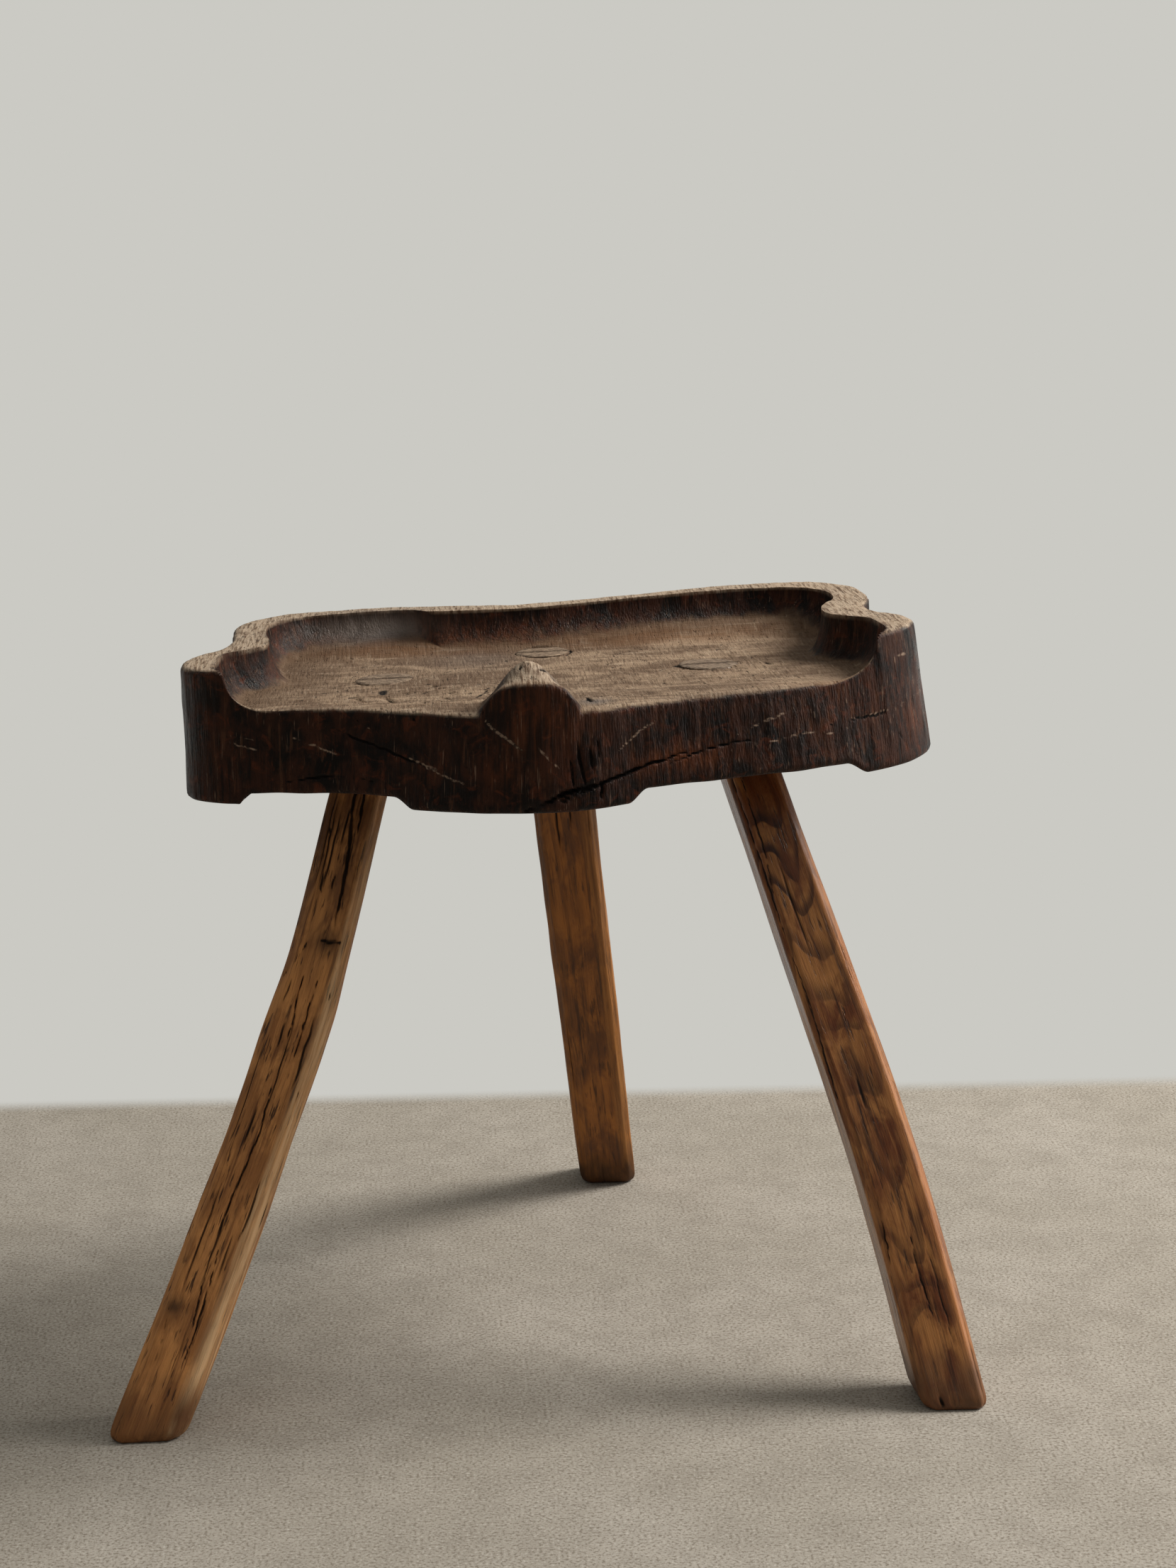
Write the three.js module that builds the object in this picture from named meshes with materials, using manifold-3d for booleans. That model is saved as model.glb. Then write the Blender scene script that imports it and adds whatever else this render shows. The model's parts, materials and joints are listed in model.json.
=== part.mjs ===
// Three-legged milking stool, hand carved. All lengths in millimetres, +Z up, sitter faces -Y.
// One thick dished slab is carried by three splayed legs. Each leg ends in a round tenon that
// passes right through the slab and is spread by a wedge driven into its top.
import * as THREE from "three";
import { mergeVertices } from "three/addons/utils/BufferGeometryUtils.js";
import Module from "manifold-3d";

// ---- Seat slab, in its own frame: U to the right, V to the back, W up from the lower face ----
const SEAT_HEIGHT = 325; // floor to the slab's lower face, at its middle
const SEAT_ROLL = 2.3; // degrees, the right side stands higher
const DISH_FLOOR = 47; // W of the sitting surface
const LIP_RISE = 3.5; // the front edge stands this far above the dish
const LIP_LENGTH = 45; // over which it rises
const LIP_START = -95; // V at which the rise ends
const BACK_RISE = 8; // the dish climbs this far towards the back wall
const BACK_RISE_START = 80; // V
const BACK_RISE_END = 112; // V
const EDGE_ROUND = 2.6; // worn arrises of the slab
const UNDER_EDGE_ROUND = 3.2;

// Plan outline at the top: pommel, right wing, right horn, notch, rear lobe, and so round.
const TOP_OUTLINE = [
  [-18, -141], [12, -137], [40, -126], [80, -113], [115, -103], [150, -88], [174, -72],
  [190, -52], [197, -30], [194, -9], [184, 8], [181, 28], [187, 52], [190, 84], [186, 113],
  [168, 134], [138, 140], [98, 135], [45, 127], [-20, 119], [-62, 126], [-108, 128],
  [-144, 124], [-165, 108], [-176, 84], [-177, 56], [-176, 28], [-181, 0], [-193, -22],
  [-198, -46], [-195, -65], [-185, -76], [-164, -85], [-110, -98], [-76, -117], [-46, -134],
];
// The lower outline: the right horn and the front lean outwards going down.
const UNDER_OUTLINE = [
  [-18, -144], [12, -141], [40, -131], [80, -120], [115, -110], [152, -94], [178, -78],
  [196, -57], [205, -33], [202, -6], [191, 12], [186, 30], [188, 54], [190, 84], [184, 111],
  [165, 130], [136, 136], [98, 132], [45, 124], [-20, 117], [-62, 123], [-108, 125],
  [-143, 121], [-165, 106], [-176, 84], [-178, 56], [-177, 28], [-182, 0], [-194, -22],
  [-200, -46], [-197, -64], [-186, -77], [-164, -87], [-110, -102], [-76, -121], [-46, -138],
];
// The dish's edge at rim level. In front it runs outside the slab, so the dish is open there.
const DISH_OUTLINE = [
  [-18, -165], [75, -135], [120, -117], [151, -99], [176, -62], [177, -36], [174, -16],
  [164, -5], [156, 6], [155, 24], [160, 44], [168, 64], [168, 92], [158, 111], [134, 119],
  [95, 116], [45, 109], [0, 102], [-42, 101], [-66, 103], [-74, 111], [-108, 112], [-140, 105],
  [-156, 86], [-159, 60], [-157, 36], [-155, 18], [-157, 3], [-166, -8], [-176, -18],
  [-179, -40], [-179, -72], [-169, -88], [-155, -98], [-124, -113], [-88, -137],
];
// By angle round the slab's middle, degrees from +U: height of the rim, reach of the wall's cove.
const RIM_HEIGHT = [
  [-180, 70], [-168, 70.5], [-90, 72], [-20, 72.3], [0, 72], [35, 72], [98, 69.5], [140, 70],
  [180, 70],
];
const COVE_REACH = [
  [-180, 13], [-172, 12], [-160, 14], [-24, 14], [-12, 12], [-4, 10], [10, 9], [40, 12],
  [90, 11], [140, 13], [165, 11], [180, 13],
];
// How many steps the slab's edge takes in each sector, degrees: more where it turns sharply.
const EDGE_STEPS = [
  [-180, -150, 20], [-150, -110, 16], [-110, -84, 14], [-84, -40, 16], [-40, -4, 22],
  [-4, 20, 12], [20, 160, 44], [160, 180, 10],
];

// Pommel: a mound between the sitter's thighs, trimmed flush with the front.
const POMMEL_U = -18;
const POMMEL_FRONT = -141; // V
const POMMEL_HALF_WIDTH = 25;
const POMMEL_FRONT_RISE = 19.5; // above the dish
const POMMEL_PEAK_RISE = 27;
const POMMEL_PEAK_BACK = 24; // peak behind the front
const POMMEL_LENGTH = 74;
const POMMEL_SQUARENESS = 3;

// Underside: two shallow flats pared round the front legs' sockets.
const PARED_FLATS = [
  { low: -170, lowRamp: 5, high: -79, highRamp: 10, depth: 6 },
  { low: 30, lowRamp: 11, high: 162, highRamp: 13, depth: 7 },
];
const FLAT_BACK = 75; // V where a flat has run out
const FLAT_BACK_RAMP = 45;
const FLAT_INNER = 40; // a flat has run out this near the middle
const FLAT_INNER_RAMP = 40;

// ---- Legs ----
const TENON_R = 15.4;
const SOCKET_GAP = 0.35;
const SOCKET_REACH = 30; // the socket cutter runs past the slab by this much
const SHOULDER_DROP = 0.7; // leg shoulder below the slab
const SHOULDER_FALL = 3.5; // over which the square leg is rounded into its tenon
const FOOT_ROUND = 3.5;
const LEG_SIDES = 24;
const BODY_STATIONS = 9;
// socket: U, V, W of the tenon's end. under: W of the slab's underside there. foot: floor contact.
// bow: sideways and forward set of the body, at a third and two thirds of its length.
// halfWidth and halfDepth: [share of the way down, size].
const LEGS = [
  {
    name: "front_left", socket: [-92, 9, 47.4], under: 3.5, foot: [-221, -150],
    shoulderShift: 4.6, bow: [[11.4, 0], [7.9, 0]], turn: 2, bevel: 5,
    halfWidth: [[0, 15.6], [0.27, 15.5], [0.4, 17.1], [0.75, 17.8], [0.9, 18.7], [1, 18.4]],
    halfDepth: [[0, 15.2], [0.5, 16.4], [1, 17.6]],
  },
  {
    name: "front_right", socket: [88, 5, 47.4], under: 6, foot: [203, -142],
    shoulderShift: 2.6, bow: [[5.5, 0], [6.6, 0]], turn: -1, bevel: 4.2,
    halfWidth: [[0, 15], [0.5, 17], [0.8, 17.4], [1, 17.4]],
    halfDepth: [[0, 15.2], [0.5, 17], [1, 17]],
  },
  {
    name: "rear", socket: [-1, 73, 47.6], under: 0, foot: [46.5, 212],
    shoulderShift: 1.4, bow: [[1, 0], [0.5, 0]], turn: 0, bevel: 4,
    halfWidth: [[0, 18.8], [0.5, 18.3], [1, 17.8]],
    halfDepth: [[0, 16], [1, 16.2]],
  },
];

// ---- Wedges ----
const WEDGE_DEPTH = 30;
const WEDGE_TOP = 3.4; // thickness at the tenon's end
const WEDGE_TIP = 0.9;
const WEDGE_GAP = 0.3;
const WEDGE_OVERRUN = 4; // the cutters run past the tenon's end by this much

const DEG = Math.PI / 180;
const smooth = (x) => THREE.MathUtils.smoothstep(x, 0, 1);
const lerp = THREE.MathUtils.lerp;

// Linear steps through a table of [at, value] pairs, eased between them.
function tableValue(table, at) {
  const last = table.length - 1;
  for (let i = 0; i < last; i++) {
    const [a, va] = table[i];
    const [b, vb] = table[i + 1];
    if (at <= b) return lerp(va, vb, smooth((at - a) / (b - a)));
  }
  return table[last][1];
}

// The distance from the slab's middle to a closed outline, as a function of the angle.
const OUTLINE_SAMPLES = 1440;
function polarOutline(points) {
  const loop = points.map(([u, v]) => new THREE.Vector3(u, v, 0));
  const curve = new THREE.CatmullRomCurve3(loop, true, "centripetal");
  const polar = curve
    .getPoints(OUTLINE_SAMPLES)
    .map((p) => [Math.atan2(p.y, p.x), Math.hypot(p.x, p.y)])
    .sort((a, b) => a[0] - b[0]);
  return (angle) => {
    let high = polar.findIndex((entry) => entry[0] > angle);
    if (high < 1) high = polar.length - 1;
    const [a, ra] = polar[high - 1];
    const [b, rb] = polar[high];
    const share = b > a ? (angle - a) / (b - a) : 0;
    return lerp(ra, rb, THREE.MathUtils.clamp(share, 0, 1));
  };
}
const topRadius = polarOutline(TOP_OUTLINE);
const underRadius = polarOutline(UNDER_OUTLINE);
const dishRadius = polarOutline(DISH_OUTLINE);

// The dish without its walls.
function dishFloor(u, v) {
  const lip = LIP_RISE * smooth((LIP_START + LIP_LENGTH - v) / LIP_LENGTH);
  const back = BACK_RISE * smooth((v - BACK_RISE_START) / (BACK_RISE_END - BACK_RISE_START));
  return DISH_FLOOR + lip + back;
}

function pommelRise(u, v) {
  const back = Math.max(v - POMMEL_FRONT, 0);
  const climb = smooth(back / POMMEL_PEAK_BACK);
  const fall = 1 - smooth((back - POMMEL_PEAK_BACK) / (POMMEL_LENGTH - POMMEL_PEAK_BACK));
  const crest = lerp(POMMEL_FRONT_RISE, POMMEL_PEAK_RISE, climb) * fall;
  const side = Math.min(Math.abs(u - POMMEL_U) / (POMMEL_HALF_WIDTH * (1 + 0.15 * climb)), 1);
  const squareness = lerp(POMMEL_SQUARENESS, 2, climb);
  const dome = Math.sqrt(1 - Math.pow(side, squareness));
  return crest * lerp(dome, (1 + Math.cos(Math.PI * side)) / 2, 0.75 * climb);
}

// The carved top: floor, coved wall, flat rim, pommel.
function topHeight(u, v, angle) {
  const r = Math.hypot(u, v);
  const reach = tableValue(COVE_REACH, angle / DEG);
  const into = THREE.MathUtils.clamp((r - dishRadius(angle) + reach) / reach, 0, 1);
  const floor = dishFloor(u, v);
  const rim = tableValue(RIM_HEIGHT, angle / DEG);
  const carved = lerp(floor, rim, 1 - Math.sqrt(1 - into * into));
  return Math.max(carved, DISH_FLOOR + pommelRise(u, v));
}

function underHeight(u, v) {
  let height = 0;
  const reach = smooth((Math.hypot(u, v) - FLAT_INNER) / FLAT_INNER_RAMP);
  const fade = reach * smooth((FLAT_BACK - v) / FLAT_BACK_RAMP);
  for (const flat of PARED_FLATS) {
    const across = smooth((u - flat.low) / flat.lowRamp) * smooth((flat.high - u) / flat.highRamp);
    height += flat.depth * across * fade;
  }
  return height;
}

// One row of the slab's skin per entry, from the middle of the top round to the middle below.
const FLOOR_ROWS = [0, 0.25, 0.45, 0.6, 0.74, 0.87];
const WALL_ROWS = [0, 26, 48, 66, 82, 90]; // degrees round the cove
const SIDE_ROWS = [0.25, 0.5, 0.75];
const UNDER_ROWS = [0.88, 0.7, 0.52, 0.36, 0.2, 0];
const rows = [
  ...FLOOR_ROWS.map((share) => ({ zone: "floor", share })),
  ...WALL_ROWS.map((turn) => ({ zone: "wall", share: Math.sin(turn * DEG) })),
  { zone: "top", inset: EDGE_ROUND, drop: 0 },
  { zone: "top", inset: EDGE_ROUND * 0.3, drop: EDGE_ROUND * 0.3 },
  { zone: "top", inset: 0, drop: EDGE_ROUND },
  ...SIDE_ROWS.map((share) => ({ zone: "side", share })),
  { zone: "under", inset: 0, lift: UNDER_EDGE_ROUND },
  { zone: "under", inset: UNDER_EDGE_ROUND * 0.3, lift: UNDER_EDGE_ROUND * 0.3 },
  { zone: "under", inset: UNDER_EDGE_ROUND, lift: 0 },
  ...UNDER_ROWS.map((share) => ({ zone: "base", share })),
];

// Place one point of the slab's skin: a row, at an angle round the slab.
function slabPoint(row, angle) {
  const outer = topRadius(angle);
  const outerUnder = underRadius(angle);
  const reach = tableValue(COVE_REACH, angle / DEG);
  const floorEnd = Math.min(dishRadius(angle) - reach, outer * 0.9);
  const wallEnd = Math.min(dishRadius(angle), outer - EDGE_ROUND - 1);
  const at = (r, height) => {
    const u = r * Math.cos(angle);
    const v = r * Math.sin(angle);
    return new THREE.Vector3(u, v, height(u, v));
  };
  const top = (u, v) => topHeight(u, v, angle);
  if (row.zone === "floor") return at(floorEnd * row.share, top);
  if (row.zone === "wall") return at(lerp(floorEnd, wallEnd, row.share), top);
  if (row.zone === "top") return at(outer - row.inset, (u, v) => top(u, v) - row.drop);
  if (row.zone === "under") return at(outerUnder - row.inset, (u, v) => underHeight(u, v) + row.lift);
  if (row.zone === "base") return at(outerUnder * row.share, underHeight);
  const high = at(outer, top).setZ(at(outer, top).z - EDGE_ROUND);
  const low = at(outerUnder, (u, v) => underHeight(u, v) + UNDER_EDGE_ROUND);
  return high.lerp(low, row.share);
}

const wasm = await Module();
wasm.setup();

// A three.js geometry as a manifold-3d solid, and back.
function toSolid(geometry) {
  const bare = geometry.clone();
  bare.deleteAttribute("normal");
  bare.deleteAttribute("uv");
  const merged = mergeVertices(bare, 1e-4);
  const mesh = new wasm.Mesh({
    numProp: 3,
    vertProperties: new Float32Array(merged.attributes.position.array),
    triVerts: new Uint32Array(merged.index.array),
  });
  return new wasm.Manifold(mesh);
}
function toGeometry(solid) {
  const { vertProperties, triVerts } = solid.getMesh();
  const geometry = new THREE.BufferGeometry();
  geometry.setAttribute("position", new THREE.BufferAttribute(vertProperties, 3));
  geometry.setIndex(new THREE.BufferAttribute(triVerts, 1));
  geometry.computeVertexNormals();
  return geometry;
}

// The slab's frame in the stool's frame.
const slabToStool = new THREE.Matrix4()
  .makeTranslation(0, 0, SEAT_HEIGHT)
  .multiply(new THREE.Matrix4().makeRotationY(-SEAT_ROLL * DEG));
const slabUp = new THREE.Vector3(0, 0, 1).transformDirection(slabToStool);
const inStool = (u, v, w) => new THREE.Vector3(u, v, w).applyMatrix4(slabToStool);

// The slab's skin is a turned disc whose points are moved onto the carved form.
function slabGeometry() {
  const angles = [];
  for (const [from, to, steps] of EDGE_STEPS)
    for (let i = 0; i < steps; i++) angles.push(lerp(from, to, i / steps) * DEG);
  const isMiddle = (row) => (row.zone === "floor" || row.zone === "base") && row.share === 0;
  const profile = rows.map((row, i) => new THREE.Vector2(isMiddle(row) ? 0 : 1, -i));
  const disc = new THREE.LatheGeometry(profile, angles.length);
  const position = disc.attributes.position;
  for (let i = 0; i < position.count; i++) {
    const turn = Math.floor(i / rows.length) % angles.length;
    const row = rows[i % rows.length];
    const p = slabPoint(row, isMiddle(row) ? 0 : angles[(angles.length - turn) % angles.length]);
    position.setXYZ(i, p.x, p.y, p.z);
  }
  return disc.applyMatrix4(slabToStool);
}

// Where each leg runs: straight through the slab, then along its own gentle bow to the floor.
function legLine(leg) {
  const end = inStool(...leg.socket);
  const foot = new THREE.Vector3(leg.foot[0], leg.foot[1], 0);
  const share = (leg.socket[2] - leg.under + SHOULDER_DROP) / (end.z - foot.z);
  const shoulder = end.clone().lerp(foot, share);
  shoulder.x += leg.shoulderShift;
  const bowed = leg.bow.map(([side, forward], i) => {
    const p = end.clone().lerp(foot, lerp(share, 1, (i + 1) / (leg.bow.length + 1)));
    return p.add(new THREE.Vector3(side, -forward, 0));
  });
  const body = new THREE.CatmullRomCurve3([shoulder, ...bowed, foot], false, "centripetal");
  const axis = end.clone().sub(shoulder).normalize();
  return { end, shoulder, body, axis };
}

// A point of the leg's square section with bevelled arrises, as [across, forwards].
const FACE_STEPS = 4;
const BEVEL_STEPS = 2;
function sectionPoint(step, halfWidth, halfDepth, bevel) {
  const x = halfWidth - bevel;
  const y = halfDepth - bevel;
  const corners = [
    [-x, halfDepth], [x, halfDepth], [halfWidth, y], [halfWidth, -y],
    [x, -halfDepth], [-x, -halfDepth], [-halfWidth, -y], [-halfWidth, y],
  ];
  let left = (step + FACE_STEPS / 2) % LEG_SIDES;
  let edge = 0;
  while (left >= (edge % 2 ? BEVEL_STEPS : FACE_STEPS)) {
    left -= edge % 2 ? BEVEL_STEPS : FACE_STEPS;
    edge += 1;
  }
  const share = left / (edge % 2 ? BEVEL_STEPS : FACE_STEPS);
  const from = corners[edge];
  const to = corners[(edge + 1) % corners.length];
  return [lerp(from[0], to[0], share), lerp(from[1], to[1], share)];
}

function legGeometry(leg) {
  const { end, shoulder, body, axis } = legLine(leg);
  const floorUp = new THREE.Vector3(0, 0, 1);
  const stations = [
    { p: end, up: axis, plane: slabUp, round: 1, t: 0, scale: 1 },
    { p: shoulder, up: axis, plane: slabUp, round: 1, t: 0, scale: 1 },
  ];
  const length = body.getLength();
  const first = SHOULDER_FALL / length;
  const last = 1 - FOOT_ROUND / length;
  for (let i = 0; i < BODY_STATIONS; i++) {
    const t = lerp(first, last, i / (BODY_STATIONS - 1));
    const plane = slabUp.clone().lerp(floorUp, smooth(t / 0.3)).normalize();
    const up = body.getTangentAt(t).negate();
    stations.push({ p: body.getPointAt(t), up, plane, round: 0, t, scale: 1 });
  }
  const soleUp = body.getTangentAt(1).negate();
  stations.push({ p: body.getPointAt(1), up: soleUp, plane: floorUp, round: 0, t: 1, scale: 0.86 });

  const rod = new THREE.CylinderGeometry(1, 1, 1, LEG_SIDES, stations.length - 1);
  const position = rod.attributes.position;
  for (let i = 0; i < position.count; i++) {
    const [x, y, z] = [position.getX(i), position.getY(i), position.getZ(i)];
    const station = stations[Math.round((0.5 - y) * (stations.length - 1))];
    const angle = Math.atan2(x, z);
    const step = Math.round((angle / (2 * Math.PI)) * LEG_SIDES + LEG_SIDES) % LEG_SIDES;
    const halfWidth = tableValue(leg.halfWidth, station.t);
    const halfDepth = tableValue(leg.halfDepth, station.t);
    const square = sectionPoint(step, halfWidth, halfDepth, leg.bevel);
    const across = lerp(square[0], TENON_R * Math.sin(angle), station.round);
    const forward = lerp(square[1], TENON_R * Math.cos(angle), station.round);
    const side = new THREE.Vector3(Math.cos(leg.turn * DEG), Math.sin(leg.turn * DEG), 0);
    side.addScaledVector(station.up, -side.dot(station.up)).normalize();
    const front = side.clone().cross(station.up);
    const centre = Math.hypot(x, z) < 0.5 ? 0 : station.scale;
    const q = side.multiplyScalar(across * centre).addScaledVector(front, forward * centre);
    q.addScaledVector(station.up, -q.dot(station.plane) / station.up.dot(station.plane));
    q.add(station.p);
    position.setXYZ(i, q.x, q.y, q.z);
  }
  return rod;
}

// The round hole for a tenon.
function socketGeometry(leg) {
  const { end, shoulder, axis } = legLine(leg);
  const length = end.distanceTo(shoulder) + 2 * SOCKET_REACH;
  const radius = TENON_R + SOCKET_GAP;
  const hole = new THREE.CylinderGeometry(radius, radius, length, LEG_SIDES);
  hole.applyQuaternion(new THREE.Quaternion().setFromUnitVectors(new THREE.Vector3(0, 1, 0), axis));
  const middle = end.clone().add(shoulder).multiplyScalar(0.5);
  return hole.translate(middle.x, middle.y, middle.z);
}

// A tapered blade that stands across the tenon, its edge down along the tenon's axis.
function bladeGeometry(leg, gap) {
  const { end, axis } = legLine(leg);
  const slope = (WEDGE_TOP - WEDGE_TIP) / WEDGE_DEPTH;
  const topHalf = (WEDGE_TOP + slope * WEDGE_OVERRUN) / 2 + gap;
  const tipHalf = WEDGE_TIP / 2 + gap;
  const shape = new THREE.Shape([
    new THREE.Vector2(-tipHalf, -WEDGE_DEPTH - gap),
    new THREE.Vector2(tipHalf, -WEDGE_DEPTH - gap),
    new THREE.Vector2(topHalf, WEDGE_OVERRUN),
    new THREE.Vector2(-topHalf, WEDGE_OVERRUN),
  ]);
  const width = 4 * TENON_R;
  const blade = new THREE.ExtrudeGeometry(shape, { depth: width, bevelEnabled: false });
  blade.translate(0, 0, -width / 2);
  const across = new THREE.Vector3(1, 0, 0);
  across.addScaledVector(axis, -across.dot(axis)).normalize();
  const thickness = axis.clone().cross(across);
  blade.applyMatrix4(new THREE.Matrix4().makeBasis(thickness, axis, across));
  return blade.translate(end.x, end.y, end.z);
}

const group = new THREE.Group();
function addPart(name, solid, color) {
  const mesh = new THREE.Mesh(
    toGeometry(solid),
    new THREE.MeshStandardMaterial({ color, roughness: 0.6 }),
  );
  mesh.name = name;
  group.add(mesh);
}

const SEAT_COLOR = 0x5c4330;
const LEG_COLOR = 0x7d5330;
const WEDGE_COLOR = 0x8a6c4a;
let slab = toSolid(slabGeometry());
for (const leg of LEGS) slab = slab.subtract(toSolid(socketGeometry(leg)));
addPart("seat", slab, SEAT_COLOR);
for (const leg of LEGS) {
  const whole = toSolid(legGeometry(leg));
  addPart("leg_" + leg.name, whole.subtract(toSolid(bladeGeometry(leg, WEDGE_GAP))), LEG_COLOR);
  addPart("wedge_" + leg.name, whole.intersect(toSolid(bladeGeometry(leg, 0))), WEDGE_COLOR);
}

// The origin is on the floor, under the middle of the stool's own box.
const box = new THREE.Box3().setFromObject(group);
const centre = box.getCenter(new THREE.Vector3());
group.position.set(-centre.x, -centre.y, -box.min.z);

export default group;
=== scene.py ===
# Worn three-legged milking stool. Its carved forms are worked out here in millimetres and set
# into the CAD frame in metres: a checked and rubbed seat slab, three hewn legs and their wedges.
import itertools
import json
import math

import bpy
import numpy as np
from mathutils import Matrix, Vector


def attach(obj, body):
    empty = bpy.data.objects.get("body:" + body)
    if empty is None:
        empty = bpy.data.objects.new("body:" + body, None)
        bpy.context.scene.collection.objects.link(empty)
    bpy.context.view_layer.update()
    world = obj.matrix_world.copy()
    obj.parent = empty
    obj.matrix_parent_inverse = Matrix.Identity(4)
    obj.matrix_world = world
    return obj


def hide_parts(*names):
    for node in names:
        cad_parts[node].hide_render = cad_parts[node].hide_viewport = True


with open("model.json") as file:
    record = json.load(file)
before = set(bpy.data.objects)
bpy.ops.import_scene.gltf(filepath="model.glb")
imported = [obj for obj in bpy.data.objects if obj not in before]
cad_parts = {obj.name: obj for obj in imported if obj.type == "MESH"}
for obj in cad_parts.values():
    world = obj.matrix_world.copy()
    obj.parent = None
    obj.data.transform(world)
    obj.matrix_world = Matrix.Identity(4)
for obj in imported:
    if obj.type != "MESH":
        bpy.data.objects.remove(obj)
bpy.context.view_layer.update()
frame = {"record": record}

MM = 0.001
DEG = math.pi / 180

# ---- Seat slab, in its own frame: U to the right, V to the back, W up from the lower face ----
SEAT_HEIGHT = 325
SEAT_ROLL = 2.3 * DEG
DISH_FLOOR = 47
LIP_RISE, LIP_LENGTH, LIP_START = 3.5, 45, -95
BACK_RISE, BACK_RISE_START, BACK_RISE_END = 8, 80, 112
EDGE_ROUND = 3.0
UNDER_EDGE_ROUND = 3.2
RIM_LEAST = 8  # the least width that the rim's rows of points cover

TOP_OUTLINE = [
    (-18, -141), (12, -137), (40, -126), (80, -113), (115, -103), (150, -88), (174, -72),
    (190, -52), (197, -30), (194, -9), (184, 8), (181, 28), (187, 52), (190, 84), (186, 113),
    (168, 134), (138, 140), (98, 135), (45, 127), (-20, 119), (-62, 126), (-108, 128),
    (-144, 124), (-165, 108), (-176, 84), (-177, 56), (-176, 28), (-181, 0), (-193, -22),
    (-198, -46), (-195, -65), (-185, -76), (-164, -85), (-110, -98), (-76, -117), (-46, -134),
]
UNDER_OUTLINE = [
    (-18, -144), (12, -141), (40, -131), (80, -120), (115, -110), (152, -94), (178, -78),
    (196, -57), (205, -33), (202, -6), (191, 12), (186, 30), (188, 54), (190, 84), (184, 111),
    (165, 130), (136, 136), (98, 132), (45, 124), (-20, 117), (-62, 123), (-108, 125),
    (-143, 121), (-165, 106), (-176, 84), (-178, 56), (-177, 28), (-182, 0), (-194, -22),
    (-200, -46), (-197, -64), (-186, -77), (-164, -87), (-110, -102), (-76, -121), (-46, -138),
]
DISH_OUTLINE = [
    (-18, -165), (75, -135), (120, -117), (151, -99), (176, -62), (177, -36), (174, -16),
    (164, -5), (156, 6), (155, 24), (160, 44), (168, 64), (168, 92), (158, 111), (134, 119),
    (95, 116), (45, 109), (0, 102), (-42, 101), (-66, 103), (-74, 111), (-108, 112), (-140, 105),
    (-156, 86), (-159, 60), (-157, 36), (-155, 18), (-157, 3), (-166, -8), (-176, -18),
    (-179, -40), (-179, -72), (-169, -88), (-155, -98), (-124, -113), (-88, -137),
]
# By angle round the slab's middle, degrees from +U.
RIM_HEIGHT = [
    (-180, 70), (-168, 70.5), (-90, 72), (-20, 72.3), (0, 72), (35, 72), (98, 69.5), (140, 70),
    (180, 70),
]
COVE_REACH = [
    (-180, 13), (-172, 12), (-160, 14), (-24, 14), (-12, 12), (-4, 10), (10, 9), (40, 12),
    (90, 11), (140, 13), (165, 11), (180, 13),
]

POMMEL_U, POMMEL_FRONT = -18, -141
POMMEL_HALF_WIDTH, POMMEL_LENGTH = 25, 74
POMMEL_FRONT_RISE, POMMEL_PEAK_RISE, POMMEL_PEAK_BACK = 19.5, 27, 24
POMMEL_SQUARENESS = 3  # of its front; the crest behind is round
POMMEL_SPREAD, POMMEL_SOFTNESS = 0.15, 0.75  # how much wider and softer the crest is

# Shallow flats under the slab, along U: low edge, its ramp, high edge, its ramp, depth.
PARED_FLATS = [(-170, 5, -79, 10, 6), (30, 11, 162, 13, 7)]
FLAT_BACK, FLAT_BACK_RAMP = 75, 45
FLAT_INNER, FLAT_INNER_RAMP = 40, 40

# ---- Legs: the CAD's own lines. The end of each leg's tenon is given in the slab's frame ----
TENON_R = 15.4
SOCKET_GAP = 0.35
SHOULDER_DROP, SHOULDER_FALL = 0.7, 3.5
FOOT_ROUND = 8
SOLE_SCALE = 0.76
LEGS = {
    "front_left": dict(
        socket=(-92, 9, 47.4), under=3.5, foot=(-221, -150), shift=4.6, bow=[(11.4, 0), (7.9, 0)],
        turn=2, bevel=5, half_depth=[(0, 15.2), (0.5, 16.4), (1, 17.6)],
        half_width=[(0, 15.6), (0.27, 15.5), (0.4, 17.1), (0.75, 17.8), (0.9, 18.7), (1, 18.4)],
    ),
    "front_right": dict(
        socket=(88, 5, 47.4), under=6, foot=(203, -142), shift=2.6, bow=[(5.5, 0), (6.6, 0)],
        turn=-1, bevel=4.2, half_depth=[(0, 15.2), (0.5, 17), (1, 17)],
        half_width=[(0, 15), (0.5, 17), (0.8, 17.4), (1, 17.4)],
    ),
    "rear": dict(
        socket=(-1, 73, 47.6), under=0, foot=(46.5, 212), shift=1.4, bow=[(1, 0), (0.5, 0)],
        turn=0, bevel=4, half_depth=[(0, 16), (1, 16.2)],
        half_width=[(0, 18.8), (0.5, 18.3), (1, 17.8)],
    ),
}
WEDGE_DEPTH, WEDGE_TOP, WEDGE_TIP, WEDGE_GAP = 30, 3.4, 0.9, 0.3
BLADE_OVER, BLADE_STEPS = 4, 14  # how far a wedge's blade stands over the tenon, and its rows
SOCKET_PAST, SOCKET_SIDES = 30, 96

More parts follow.
